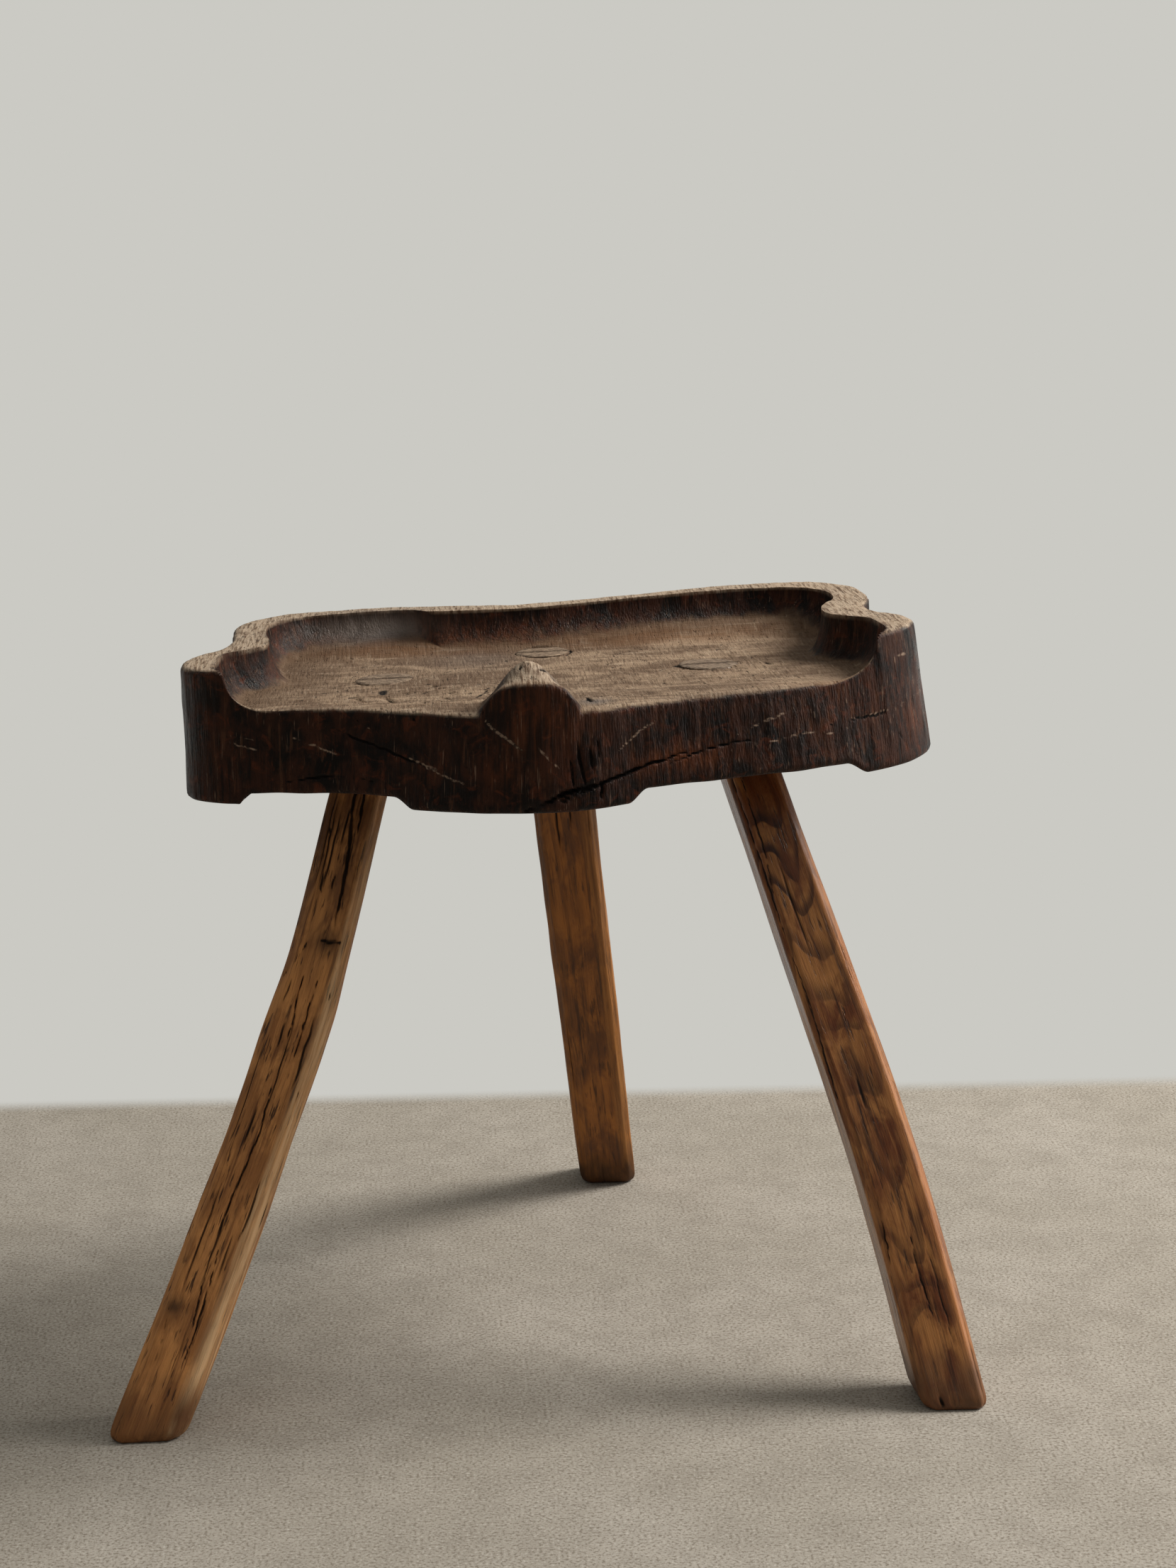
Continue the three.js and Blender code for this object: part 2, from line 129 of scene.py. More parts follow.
# ---- Checks and stains, in the slab's frame: points, half width, depth ----
SEAT_CHECKS = [
    # the deep check that runs up from the front's lower edge, in strands, and its branch
    ([(-27, -143, 0), (-16, -143, 4), (-2, -143, 10), (17, -139, 14)], 1.5, 4),
    ([(-4, -143, 7), (17, -139, 13), (35, -131, 18), (66, -121, 25)], 1.2, 3),
    ([(-12, -143, 3), (4, -143, 9), (20, -138, 14), (28, -135, 15)], 1.0, 2.4),
    ([(17, -139, 14), (15, -140, 5)], 1.0, 2.4),
    ([(35, -132, 18), (52, -127, 19), (73, -119, 24), (100, -111, 27)], 0.8, 1.3),
    # gouges where the pommel's front meets the right wing
    ([(5, -141, 38), (6, -141, 27), (8, -141, 14)], 1.6, 2.4),
    ([(11, -139, 34), (12, -139, 18)], 1.1, 1.6),
    ([(1, -142, 30), (2, -142, 12)], 1.0, 1.4),
    ([(15, -138, 44), (16, -138, 26)], 1.0, 1.5),
    ([(21, -136, 42), (21, -136, 30)], 0.9, 1.2),
    ([(2.6, -141, 42), (3, -141, 42.8)], 1.4, 2.5),
    # long fine checks across the front
    ([(-134, -92, 47), (-108, -100, 36), (-86, -113, 28), (-61, -128, 20)], 1.0, 1.2),
    ([(-42, -136, 49), (-36, -139, 43), (-24, -142, 33), (-20, -142, 31)], 1.0, 1.0),
    ([(-106, -93, 51), (-106, -101, 44)], 1.1, 1.8),
    ([(-93, -101, 52), (-93, -107, 41)], 1.3, 2.4),
    ([(-76, -112, 52), (-77, -118, 45)], 1.2, 1.8),
    ([(-150, -90, 12), (-120, -98, 16), (-96, -108, 14)], 0.9, 1.0),
    ([(60, -123, 44), (62, -123, 30)], 0.9, 0.9),
    ([(140, -96, 29), (169, -81, 30), (188, -64, 31)], 0.9, 0.9),
    ([(173, -76, 44), (186, -62, 45), (199, -38, 46)], 0.9, 0.9),
    ([(187, -66, 3), (181, -73, 17)], 1.3, 2.6),
    ([(186, -35, 73), (176, -41, 66)], 1.9, 5),
    # forked checks in the dish, near the front lip
    ([(-114, -34, 47), (-106, -52, 47), (-100, -72, 49)], 1.4, 2.6),
    ([(-93, -26, 47), (-90, -56, 47), (-86, -84, 50)], 1.5, 3),
    ([(-90, -56, 47), (-98, -42, 47), (-106, -38, 47)], 1.3, 2.4),
    ([(-90, -62, 47), (-82, -70, 48), (-76, -74, 49)], 1.3, 2.2),
    ([(-70, -8, 47), (-61, -27, 47), (-53, -56, 47)], 1.4, 2.4),
    ([(-61, -27, 47), (-70, -38, 47), (-73, -46, 47)], 1.2, 2.0),
    ([(-82, -104, 51), (-69, -93, 50), (-61, -86, 50), (-46, -87, 50)], 1.8, 3.2),
    ([(-69, -93, 50), (-73, -80, 49)], 1.3, 2.2),
    ([(-83, -22, 47), (-78, -48, 47)], 1.3, 2.2),
    ([(-62, -54, 47), (-56, -80, 49)], 1.4, 2.6),
    ([(-122, -52, 47), (-113, -84, 51)], 1.3, 2.4),
    ([(-140, -52, 48), (-129, -76, 50)], 1.1, 2.0),
    # beside and on the pommel
    ([(-53, -111, 50), (-46, -80, 48), (-40, -52, 47), (-32, -20, 47)], 1.1, 1.2),
    ([(-43, -137, 52), (-40, -122, 55), (-35, -107, 58), (-31, -92, 57)], 1.8, 3.4),
    ([(-23, -127, 72), (-18, -110, 72)], 1.5, 2.4),
    ([(-13, -125, 71), (-8, -117, 69)], 1.4, 2.0),
    ([(15, -114, 52), (13, -100, 50)], 2.2, 2.0),
    # short ones at the sides of the dish
    ([(118, 2, 47), (122, -10, 47)], 1.4, 1.8),
    ([(-140, -20, 48), (-137, -34, 49)], 1.3, 1.8),
]
# Fine checks that have filled with pale dust: points, half width.
DUST_LINES = [
    ([(-42, -136, 49), (-36, -139, 43), (-24, -142, 33), (-20, -142, 31)], 1.0),
    ([(-17, -142, 36), (-11, -143, 29), (-5, -143, 23)], 0.8),
    ([(-84, -114, 28), (-61, -128, 20)], 0.8),
    ([(-144, -91, 37), (-130, -94, 32), (-115, -98, 26)], 0.8),
    ([(-179, -80, 35), (-158, -88, 29)], 0.8),
    ([(-72, -121, 23), (-58, -131, 17), (-51, -135, 15)], 0.8),
    ([(87, -115, 29), (104, -109, 35), (121, -102, 39)], 0.8),
    ([(104, -111, 24), (135, -99, 27)], 0.8),
    ([(140, -96, 30), (169, -81, 31), (188, -64, 32)], 0.7),
    ([(173, -76, 45), (186, -62, 46), (199, -38, 47)], 0.7),
    ([(25, -134, 28), (36, -129, 36), (48, -124, 43)], 0.8),
    ([(40, -131, 24), (62, -123, 29), (84, -115, 36), (104, -109, 42)], 0.7),
    ([(118, -103, 22), (140, -97, 24), (160, -86, 27)], 0.7),
    ([(180, -72, 20), (194, -56, 21), (203, -36, 23)], 0.8),
    ([(170, -80, 56), (184, -64, 58), (196, -40, 60)], 0.8),
    ([(176, -76, 32), (190, -60, 34), (201, -38, 35)], 0.8),
    ([(-108, -101, 44), (-92, -106, 38), (-76, -118, 33)], 0.7),
    ([(-100, -103, 22), (-86, -111, 17), (-74, -120, 13)], 0.7),
    ([(-190, -72, 40), (-176, -81, 37), (-160, -87, 35)], 0.7),
]
# The dark gap round part of each tenon: from and to, in degrees, how far outside the tenon, half
# width and depth.
TENON_GAPS = {
    "front_left": (-170, -20, 0.9, 1.5, 2.4),
    "front_right": (-205, -40, 1.2, 2.2, 3.6),
    "rear": (-130, 25, 0.9, 1.5, 2.2),
}
# Stains, and among the grey ones a painted highlight: centre, reach along U, V and W, strength.
GREY_STAINS_AND_HIGHLIGHT = [
    # a painted highlight on the back-left inner wall, grey like the stains
    ((-98, 110, 60), (34, 12, 9), 1.4),
    ((16, -112, 51), (9, 9, 5), 0.9),
    ((-40, 60, 48), (26, 30, 10), 0.35),
]
ORANGE_STAINS = [
    ((-55, 96, 53), (70, 15, 9), 0.8),
    ((60, 92, 51), (80, 12, 9), 0.5),
    ((60, -124, 21), (42, 10, 6), 0.9),
    ((-34, -138, 22), (10, 8, 8), 0.6),
    ((-36, -140, 62), (10, 8, 10), 0.45),
    ((-12, -142, 46), (24, 8, 22), 0.5),
    ((150, -94, 40), (26, 16, 20), 0.4),
    ((190, -58, 24), (16, 14, 14), 0.55),
]
GLOSS_SPOTS = [
    ((198, -46, 44), (16, 26, 34), 1.0),
    ((-196, -44, 40), (20, 30, 40), 0.7),
    ((-98, 111, 62), (34, 10, 9), 0.9),
]

# Checks and gouges on the legs, in the CAD frame in millimetres: points, half width, depth.
LEG_CHECKS = {
    "front_left": [
        ([(-97, -56, 327), (-102, -64, 306), (-104, -73, 286),
          (-107, -81, 268), (-113, -92, 242)], 1.7, 2.2),
        ([(-93, -58, 325), (-96, -63, 309), (-100, -71, 290)], 1.3, 1.6),
        ([(-120, -94, 239), (-115, -94, 238), (-109, -94, 238)], 1.7, 2.4),
        ([(-126, -94, 240), (-132, -97, 230), (-140, -99, 221)], 1, 1.4),
        ([(-128, -100, 225), (-132, -105, 214), (-135, -112, 199), (-142, -119, 181)], 0.9, 2),
        ([(-145, -124, 172), (-153, -135, 145), (-164, -145, 122),
          (-171, -152, 107), (-178, -160, 89)], 0.9, 1.7),
        ([(-180, -163, 83), (-189, -177, 49)], 0.8, 1.2),
        ([(-120, -101, 223), (-125, -107, 210), (-129, -112, 197), (-136, -121, 178)], 0.9, 1.8),
        ([(-109, -93, 240), (-116, -105, 209), (-124, -115, 186), (-134, -128, 160)], 0.8, 1.4),
        ([(-173, -157, 95), (-180, -168, 71), (-188, -178, 47), (-195, -184, 34)], 0.8, 1.4),
        ([(-200, -171, 64), (-203, -177, 50), (-208, -184, 35)], 0.8, 1.3),
        ([(-114, -69, 297), (-115, -72, 288)], 0.9, 1),
        ([(-118, -79, 274), (-120, -84, 262)], 0.9, 1),
        ([(-111, -79, 273), (-114, -83, 264)], 0.9, 1),
        ([(-152, -112, 178), (-154, -116, 170)], 1.9, 2),
    ],
    "front_right": [
        ([(104, -58, 326), (106, -63, 315), (122, -83, 266), (133, -96, 232)], 1, 1.2),
        ([(135, -99, 226), (143, -109, 204), (152, -121, 169), (165, -138, 122)], 0.9, 1),
        ([(111, -64, 318), (113, -67, 309), (121, -77, 285), (126, -88, 256)], 0.8, 0.8),
        ([(175, -148, 108), (176, -152, 98), (179, -156, 83), (181, -161, 70)], 1.2, 2),
        ([(192, -156, 88), (197, -164, 67), (203, -172, 46)], 0.8, 1.1),
        ([(206, -189, 1), (205, -187, 9)], 1.5, 2.2),
    ],
    "rear": [
        ([(18, 66, 300), (29, 99, 215), (34, 116, 172)], 1, 0.9),
        ([(13, 60, 312), (20, 80, 262)], 1, 0.8),
    ],
}
# Knots: centre and size.
KNOTS = {"front_left": [((-116, -95, 238), 7), ((-197, -171, 64), 5)], "front_right": [], "rear": []}


# ---- Small maths ----
def smooth(x):
    x = np.clip(x, 0, 1)
    return x * x * (3 - 2 * x)


def lerp(a, b, t):
    return a + (b - a) * t


def table_value(table, at):
    """The value at a place, eased between the table's rows of place and value."""
    places, values = np.array(table, float).T
    i = np.clip(np.searchsorted(places, at, side="right") - 1, 0, len(places) - 2)
    return lerp(values[i], values[i + 1], smooth((at - places[i]) / (places[i + 1] - places[i])))


def catmull(points, closed, steps=40):
    """Points along a centripetal Catmull-Rom curve through points."""
    p = np.array(points, float)
    if closed:
        before, after = p[-1:], p[:2]
    else:
        before, after = 2 * p[:1] - p[1:2], 2 * p[-1:] - p[-2:-1]
    p = np.concatenate([before, p, after])
    knots = np.linalg.norm(np.diff(p, axis=0), axis=1) ** 0.5
    t = np.linspace(0, 1, steps, endpoint=False)[:, None]
    out = []
    for i in range(1, len(p) - 2):
        a, b, c, d = p[i - 1 : i + 3]
        ka, kb, kc = knots[i - 1 : i + 2]
        start = ((b - a) / ka - (c - a) / (ka + kb) + (c - b) / kb) * kb
        end = ((c - b) / kb - (d - b) / (kb + kc) + (d - c) / kc) * kb
        rise = 3 * t**2 - 2 * t**3
        out.append(lerp(b, c, rise) + (t**3 - 2 * t**2 + t) * start + (t**3 - t**2) * end)
    if not closed:
        out.append(p[-2:-1])
    return np.concatenate(out)


def value_noise(points, seed):
    """Smooth noise between -1 and 1, one lattice cell a unit."""
    cell = np.floor(points).astype(np.int64)
    part = smooth(points - cell)
    total = np.zeros(len(points))
    for corner in itertools.product((0, 1), repeat=3):
        at = cell + np.array(corner)
        key = at[:, 0] * 73856093 ^ at[:, 1] * 19349663 ^ at[:, 2] * 83492791 ^ (seed * 668265263)
        key = (key ^ (key >> 13)) * 1274126177
        value = ((key ^ (key >> 16)) & 0xFFFF) / 32767.5 - 1
        total += value * np.prod(np.where(corner, part, 1 - part), axis=1)
    return total


def line_distance(points, line):
    """Distance from each point to a line of straight runs, and the share of it at the nearest place."""
    line = np.array(line, float)
    runs = np.diff(line, axis=0)
    lengths = np.linalg.norm(runs, axis=1)
    nearest = np.full(len(points), 1e9)
    share = np.zeros(len(points))
    begun = 0.0
    for start, run, length in zip(line, runs, lengths):
        t = np.clip((points - start) @ run / length**2, 0, 1)
        distance = np.linalg.norm(points - start - t[:, None] * run, axis=1)
        closer = distance < nearest
        nearest = np.where(closer, distance, nearest)
        share = np.where(closer, (begun + t * length) / lengths.sum(), share)
        begun += length
    return nearest, share


WANDER, WANDER_CELL = 0.55, 3.4  # how far a check strays from its line, and how often
TAPER_END, TAPER_POWER = 0.03, 0.4  # a check is narrow at its ends, but not closed


def carve(points, checks, seed):
    """How deep the checks cut at each point, and how near its check's middle it is, 0 to 1."""
    stray = [value_noise(points / WANDER_CELL, seed + i) for i in range(3)]
    strayed = points + WANDER * np.stack(stray, 1)
    depth = np.zeros(len(points))
    close = np.zeros(len(points))
    for line, half_width, deep in checks:
        distance, share = line_distance(strayed, line)
        taper = np.sin(np.pi * np.clip(share, TAPER_END, 1 - TAPER_END)) ** TAPER_POWER
        near = np.clip(1 - distance / (half_width * taper), 0, 1)
        depth = np.maximum(depth, deep * taper * near)
        close = np.maximum(close, near)
    return depth, close


def stain(points, spots):
    """How strongly the spots' soft stains reach each point."""
    total = np.zeros(len(points))
    for centre, reach, strength in spots:
        away = (((points - np.array(centre)) / np.array(reach)) ** 2).sum(1)
        total = np.maximum(total, strength * np.exp(-away))
    return total


# ---- Meshes from rings of points ----
def join_rings(counts):
    """Faces between neighbouring rings. A ring has 1 point, or as many as its neighbour, half or double."""
    faces = []
    starts = np.concatenate([[0], np.cumsum(counts)])
    for i in range(len(counts) - 1):
        n, m = counts[i], counts[i + 1]
        a, b = starts[i], starts[i + 1]
        fine = np.arange(max(n, m))
        coarse = np.arange(min(n, m))
        nexts = (coarse + 1) % len(coarse)
        if n == m:
            faces += np.stack([a + fine, b + fine, b + nexts, a + nexts], 1).tolist()
        elif n == 1:
            faces += np.stack([a + 0 * fine, b + fine, b + (fine + 1) % m], 1).tolist()
        elif m == 1:
            faces += np.stack([a + fine, b + 0 * fine, a + (fine + 1) % n], 1).tolist()
        else:
            low, middle, high = 2 * coarse, 2 * coarse + 1, (2 * coarse + 2) % len(fine)
            if n < m:
                parts = [(a + coarse, b + low, b + middle), (a + coarse, b + middle, a + nexts),
                         (a + nexts, b + middle, b + high)]
            else:
                parts = [(a + low, b + coarse, a + middle), (a + middle, b + coarse, b + nexts),
                         (a + middle, b + nexts, a + high)]
            for part in parts:
                faces += np.stack(part, 1).tolist()
    return faces


def point_normals(points, faces):
    """The mean direction of the faces round each point."""
    normals = np.zeros_like(points)
    for corners in (3, 4):
        some = np.array([f for f in faces if len(f) == corners])
        if not len(some):
            continue
        a, b, c, d = (points[some[:, i]] for i in (0, 1, 2, corners - 1))
        across = np.cross(c - a, d - b) if corners == 4 else np.cross(b - a, c - a)
        for i in range(corners):
            np.add.at(normals, some[:, i], across)
    return normals / np.maximum(np.linalg.norm(normals, axis=1), 1e-12)[:, None]


def make_object(name, points, faces, attributes):
    """An object from points in millimetres, with a value or a vector of each attribute for each point."""
    mesh = bpy.data.meshes.new(name)
    mesh.from_pydata((points * MM).tolist(), [], faces)
    for key, values in attributes.items():
        vector = np.ndim(values) == 2
        layer = mesh.attributes.new(key, "FLOAT_VECTOR" if vector else "FLOAT", "POINT")
        layer.data.foreach_set("vector" if vector else "value", np.ravel(values).astype(np.float32))
    obj = bpy.data.objects.new(name, mesh)
    bpy.context.scene.collection.objects.link(obj)
    return obj


def combine(obj, other, operation):
    """A new mesh for obj, cut by or kept inside other."""
    cut = obj.modifiers.new("combine", "BOOLEAN")
    cut.operation = operation
    cut.solver = "MANIFOLD"
    cut.object = other
    graph = bpy.context.evaluated_depsgraph_get()
    mesh = bpy.data.meshes.new_from_object(obj.evaluated_get(graph))
    obj.modifiers.clear()
    obj.data = mesh


def finish_mesh(obj, sharp_angle=50):
    obj.data.shade_smooth()
    obj.data.set_sharp_from_angle(angle=sharp_angle * DEG)


# ---- Where things are ----
mounts = {m["name"]: m["pos_m"] for m in frame["record"]["mounts"]}
STOOL_TO_ROW = np.array(
    [mounts["foot_left"][i] / MM - LEGS["front_left"]["foot"][i] for i in range(2)] + [0]
)
COS_ROLL, SIN_ROLL = math.cos(SEAT_ROLL), math.sin(SEAT_ROLL)
SLAB_TO_STOOL = np.array([[COS_ROLL, 0, -SIN_ROLL], [0, 1, 0], [SIN_ROLL, 0, COS_ROLL]])
SLAB_UP = SLAB_TO_STOOL[:, 2]
FLOOR_UP = np.array([0.0, 0.0, 1.0])


def in_stool(points):
    return np.asarray(points, float) @ SLAB_TO_STOOL.T + [0, 0, SEAT_HEIGHT]


# ---- Seat ----
def polar_outline(points):
    """The radius of a closed outline, as a function of the angle."""
    loop = catmull(points, True)
    angle = np.arctan2(loop[:, 1], loop[:, 0])
    order = np.argsort(angle)
    radius = np.hypot(loop[:, 0], loop[:, 1])
    return lambda at: np.interp(at, angle[order], radius[order], period=2 * np.pi)


top_radius = polar_outline(TOP_OUTLINE)
under_radius = polar_outline(UNDER_OUTLINE)
dish_radius = polar_outline(DISH_OUTLINE)


def dish_floor(v):
    lip = LIP_RISE * smooth((LIP_START + LIP_LENGTH - v) / LIP_LENGTH)
    back = BACK_RISE * smooth((v - BACK_RISE_START) / (BACK_RISE_END - BACK_RISE_START))
    return DISH_FLOOR + lip + back


def pommel_rise(u, v):
    back = np.maximum(v - POMMEL_FRONT, 0)
    climb = smooth(back / POMMEL_PEAK_BACK)
    fall = 1 - smooth((back - POMMEL_PEAK_BACK) / (POMMEL_LENGTH - POMMEL_PEAK_BACK))
    crest = lerp(POMMEL_FRONT_RISE, POMMEL_PEAK_RISE, climb) * fall
    side = np.minimum(np.abs(u - POMMEL_U) / (POMMEL_HALF_WIDTH * (1 + POMMEL_SPREAD * climb)), 1)
    dome = np.sqrt(np.maximum(1 - side ** lerp(POMMEL_SQUARENESS, 2, climb), 0))
    return crest * lerp(dome, (1 + np.cos(np.pi * side)) / 2, POMMEL_SOFTNESS * climb)


def top_height(u, v, angle):
    reach = table_value(COVE_REACH, angle / DEG)
    into = np.clip((np.hypot(u, v) - dish_radius(angle) + reach) / reach, 0, 1)
    wall = 1 - np.sqrt(1 - into**2)
    carved = lerp(dish_floor(v), table_value(RIM_HEIGHT, angle / DEG), wall)
    return np.maximum(carved, DISH_FLOOR + pommel_rise(u, v))


def under_height(u, v):
    fade = smooth((np.hypot(u, v) - FLAT_INNER) / FLAT_INNER_RAMP)
    fade = fade * smooth((FLAT_BACK - v) / FLAT_BACK_RAMP)
    height = 0
    for low, low_ramp, high, high_ramp, depth in PARED_FLATS:
        height = height + depth * smooth((u - low) / low_ramp) * smooth((high - u) / high_ramp) * fade
    return height


FLOOR_LIMIT = 0.9  # the dish's flat floor ends within this share of the edge's radius


def skin_ring(zone, share, angle):
    """One ring of the slab's skin, from the middle of the top round to the middle below."""
    outer, outer_under, dish = top_radius(angle), under_radius(angle), dish_radius(angle)
    floor_end = np.minimum(dish - table_value(COVE_REACH, angle / DEG), outer * FLOOR_LIMIT)
    wall_end = np.minimum(dish, outer - RIM_LEAST)
    turn = share * np.pi / 2

    def at(radius, height, lift=0):
        u, v = radius * np.cos(angle), radius * np.sin(angle)
        return np.stack([u, v, height(u, v) + lift], 1)

    def top(u, v):
        return top_height(u, v, angle)

    def under(u, v):
        return under_height(u, v) + 0 * u

    if zone == "floor":
        return at(floor_end * share, top)
    if zone == "wall":
        return at(lerp(floor_end, wall_end, np.sin(turn)), top)
    if zone == "rim":
        return at(lerp(wall_end, outer - EDGE_ROUND, share), top)
    if zone == "edge":
        inset = EDGE_ROUND * (1 - math.sin(turn))
        return at(outer - inset, top, -EDGE_ROUND * (1 - math.cos(turn)))
    if zone == "side":
        return lerp(at(outer, top, -EDGE_ROUND), at(outer_under, under, UNDER_EDGE_ROUND), share)
    if zone == "under_edge":
        inset = UNDER_EDGE_ROUND * (1 - math.cos(turn))
        return at(outer_under - inset, under, UNDER_EDGE_ROUND * (1 - math.sin(turn)))
    return at((outer_under - UNDER_EDGE_ROUND) * share, under)


SEAT_POINTS = 896  # round the slab's edge
FRONT_SECTOR = (-174, 10)  # degrees, where the points stand closer
FRONT_CLOSENESS, FRONT_RAMP = 2.6, 6
EDGE_SAMPLES = 7201


def skin_angles():
    """The angles of the points round the edge, closer together in front."""
    fine = np.linspace(-np.pi, np.pi, EDGE_SAMPLES)
    radius = top_radius(fine)
    edge = np.stack([radius * np.cos(fine), radius * np.sin(fine)], 1)
    steps = np.linalg.norm(np.diff(edge, axis=0), axis=1)
    middle = (fine[1:] + fine[:-1]) / 2 / DEG
    start, end = FRONT_SECTOR
    front = smooth((middle - start) / FRONT_RAMP) * smooth((end - middle) / FRONT_RAMP)
    run = np.concatenate([[0], np.cumsum(steps * (1 + (FRONT_CLOSENESS - 1) * front))])
    return np.interp(np.arange(SEAT_POINTS) / SEAT_POINTS * run[-1], run, fine)


def spread(low, high, count):
    return [low + (high - low) * (i + 1) / count for i in range(count)]


# Zone, shares from the first row to the last, and how often the row's points are halved.
SKIN_ROWS = [
    ("floor", [0.05, 0.1, 0.15], 4), ("floor", spread(0.15, 0.36, 7), 3),
    ("floor", spread(0.36, 0.58, 9), 2), ("floor", spread(0.58, 0.66, 4), 1),
    ("floor", spread(0.66, 1, 24), 0), ("wall", spread(0, 1, 13), 0), ("rim", spread(0, 1, 5), 0),
    ("edge", spread(0, 1, 4), 0), ("side", spread(0, 1, 42)[:-1], 0),
    ("under_edge", spread(-0.25, 1, 4), 0),
    ("base", [0.98, 0.95, 0.91, 0.87], 1), ("base", spread(0.87, 0.4, 15), 2),
    ("base", spread(0.4, 0.1, 10), 3),
]


# Hand-tool and wear relief: where, its height, the size of its cells along U, V and W, and its seed.
SEAT_RELIEF = [
    ("all", 0.5, (44, 44, 30), 1), ("all", 0.25, (15, 15, 13), 2),
    ("side", 0.32, (2.8, 2.8, 17), 3), ("side", 0.2, (6, 6, 26), 4),
    ("top", 0.2, (34, 5, 9), 5), ("top", 0.16, (4, 9, 9), 7), ("under", 0.4, (15, 42, 9), 6),
]
FACING_START, FACING_RAMP = 0.35, 0.4  # how far a normal leans before it counts as top or under


def seat_relief(p, n):
    """How far each point stands out or in, in millimetres."""
    up = smooth((n[:, 2] - FACING_START) / FACING_RAMP)
    down = smooth((-n[:, 2] - FACING_START) / FACING_RAMP)
    shares = {"all": 1, "side": 1 - up - down, "top": up, "under": down}
    relief = np.zeros(len(p))
    for zone, height, cells, seed in SEAT_RELIEF:
        relief += shares[zone] * height * value_noise(p / cells, seed)
    return relief


GRIME_AND_SHADE_REACH, GRIME_AND_SHADE_TOP, GRIME_AND_SHADE_FADE = 24, 64, 8  # dirt and painted shade out from the wall's foot, and up the wall
FRINGE_REACH = 15  # how far the front lip is rubbed pale
RIM_INSIDE, RIM_FADE = 2, 3  # the rim's look starts this far inside it
WALL_LEAST, WALL_FADE = 1, 5  # the dish has a wall where its outline is this far inside the edge
POMMEL_WORN, POMMEL_WORN_FADE = 9, 10  # the height above the dish from which the pommel is rubbed
POMMEL_AREA, POMMEL_AREA_FADE = 60, 20


def wear_zones(p):
    """How far each point is in the dirt and painted shade by the wall, the rubbed front lip, and the rim or
    pommel.
    """
    angle = np.arctan2(p[:, 1], p[:, 0])
    r = np.hypot(p[:, 0], p[:, 1])
    walled = smooth((top_radius(angle) - dish_radius(angle) - WALL_LEAST) / WALL_FADE)
    foot = dish_radius(angle) - table_value(COVE_REACH, angle / DEG) - r
    dirt_and_shade = walled * np.exp(-((np.maximum(foot, 0) / GRIME_AND_SHADE_REACH) ** 2))
    dirt_and_shade = dirt_and_shade * smooth((GRIME_AND_SHADE_TOP - p[:, 2]) / GRIME_AND_SHADE_FADE)
    lip = (1 - walled) * smooth(1 - (top_radius(angle) - r) / FRINGE_REACH)
    rim = walled * smooth((r - dish_radius(angle) + RIM_INSIDE) / RIM_FADE)
    pommel = smooth((p[:, 2] - DISH_FLOOR - POMMEL_WORN) / POMMEL_WORN_FADE)
    pommel = pommel * smooth((POMMEL_AREA - np.abs(p[:, 0] - POMMEL_U)) / POMMEL_AREA_FADE)
    return np.stack([dirt_and_shade, lip, np.maximum(rim, pommel * (1 - walled))], 1)


def tenon_rim(leg, start, end, grow):
    """An arc on the dish just outside a tenon, by angle in degrees."""
    line = leg_line(leg)
    flat = line["axis"] @ SLAB_TO_STOOL
    lean = flat[:2] / np.hypot(*flat[:2])
    across = np.array([-lean[1], lean[0]])
    long_radius = (TENON_R + grow) / flat[2]
    points = []
    for angle in np.linspace(start, end, 9) * DEG:
        d = np.array([math.cos(angle), math.sin(angle)])
        along, aside = d @ lean, d @ across
        r = 1 / math.hypot(along / long_radius, aside / (TENON_R + grow))
        u, v, w = leg["socket"]
        points.append((u + r * d[0], v + r * d[1], DISH_FLOOR))
    return points


TOP_FACING, TOP_FACING_RAMP = 0.5, 0.42  # how level a surface is where it is rubbed pale
TOP_START, TOP_RAMP = 38, 6  # and how high


def worn_top(p, n):
    """Where the pale, rubbed look of the top gives way to the dark sides, with a ragged edge."""
    ragged = 0.14 * value_noise(p / 7, 8) + 0.1 * value_noise(p / 2.6, 9)
    level = smooth((n[:, 2] - TOP_FACING + ragged) / TOP_FACING_RAMP)
    return level * smooth((p[:, 2] - TOP_START) / TOP_RAMP)


CHECK_SEED = 20


def make_seat():
    angles = skin_angles()
    rings = [skin_ring("floor", 0, angles[:1])]
    for zone, shares, halvings in SKIN_ROWS:
        rings += [skin_ring(zone, share, angles[:: 2**halvings]) for share in shares]
    rings.append(skin_ring("base", 0, angles[:1]))
    faces = join_rings([len(r) for r in rings])
    p = np.concatenate(rings)
    n = point_normals(p, faces)
    checks = list(SEAT_CHECKS)
    for name, (start, end, grow, half_width, deep) in TENON_GAPS.items():
        checks.append((tenon_rim(LEGS[name], start, end, grow), half_width, deep))
    depth, close = carve(p, checks, CHECK_SEED)
    dust = np.zeros(len(p))
    for line, half_width in DUST_LINES:
        dust = np.maximum(dust, carve(p, [(line, half_width, 1)], CHECK_SEED)[1])
    moved = p + n * (seat_relief(p, n) - depth)[:, None]
    # grey: stains and a painted highlight on the back-left wall; orange stains; glossy spots
    tint = np.stack([stain(p, GREY_STAINS_AND_HIGHLIGHT), stain(p, ORANGE_STAINS), stain(p, GLOSS_SPOTS)], 1)
    marks = np.stack([close, dust, worn_top(p, n)], 1)
    attributes = {"tint": tint, "marks": marks, "zones": wear_zones(p)}
    seat = make_object("seat_slab", in_stool(moved) + STOOL_TO_ROW, faces, attributes)
    for leg in LEGS.values():
        hole = make_socket(leg)
        combine(seat, hole, "DIFFERENCE")
        bpy.data.objects.remove(hole)
    finish_mesh(seat)
    return seat


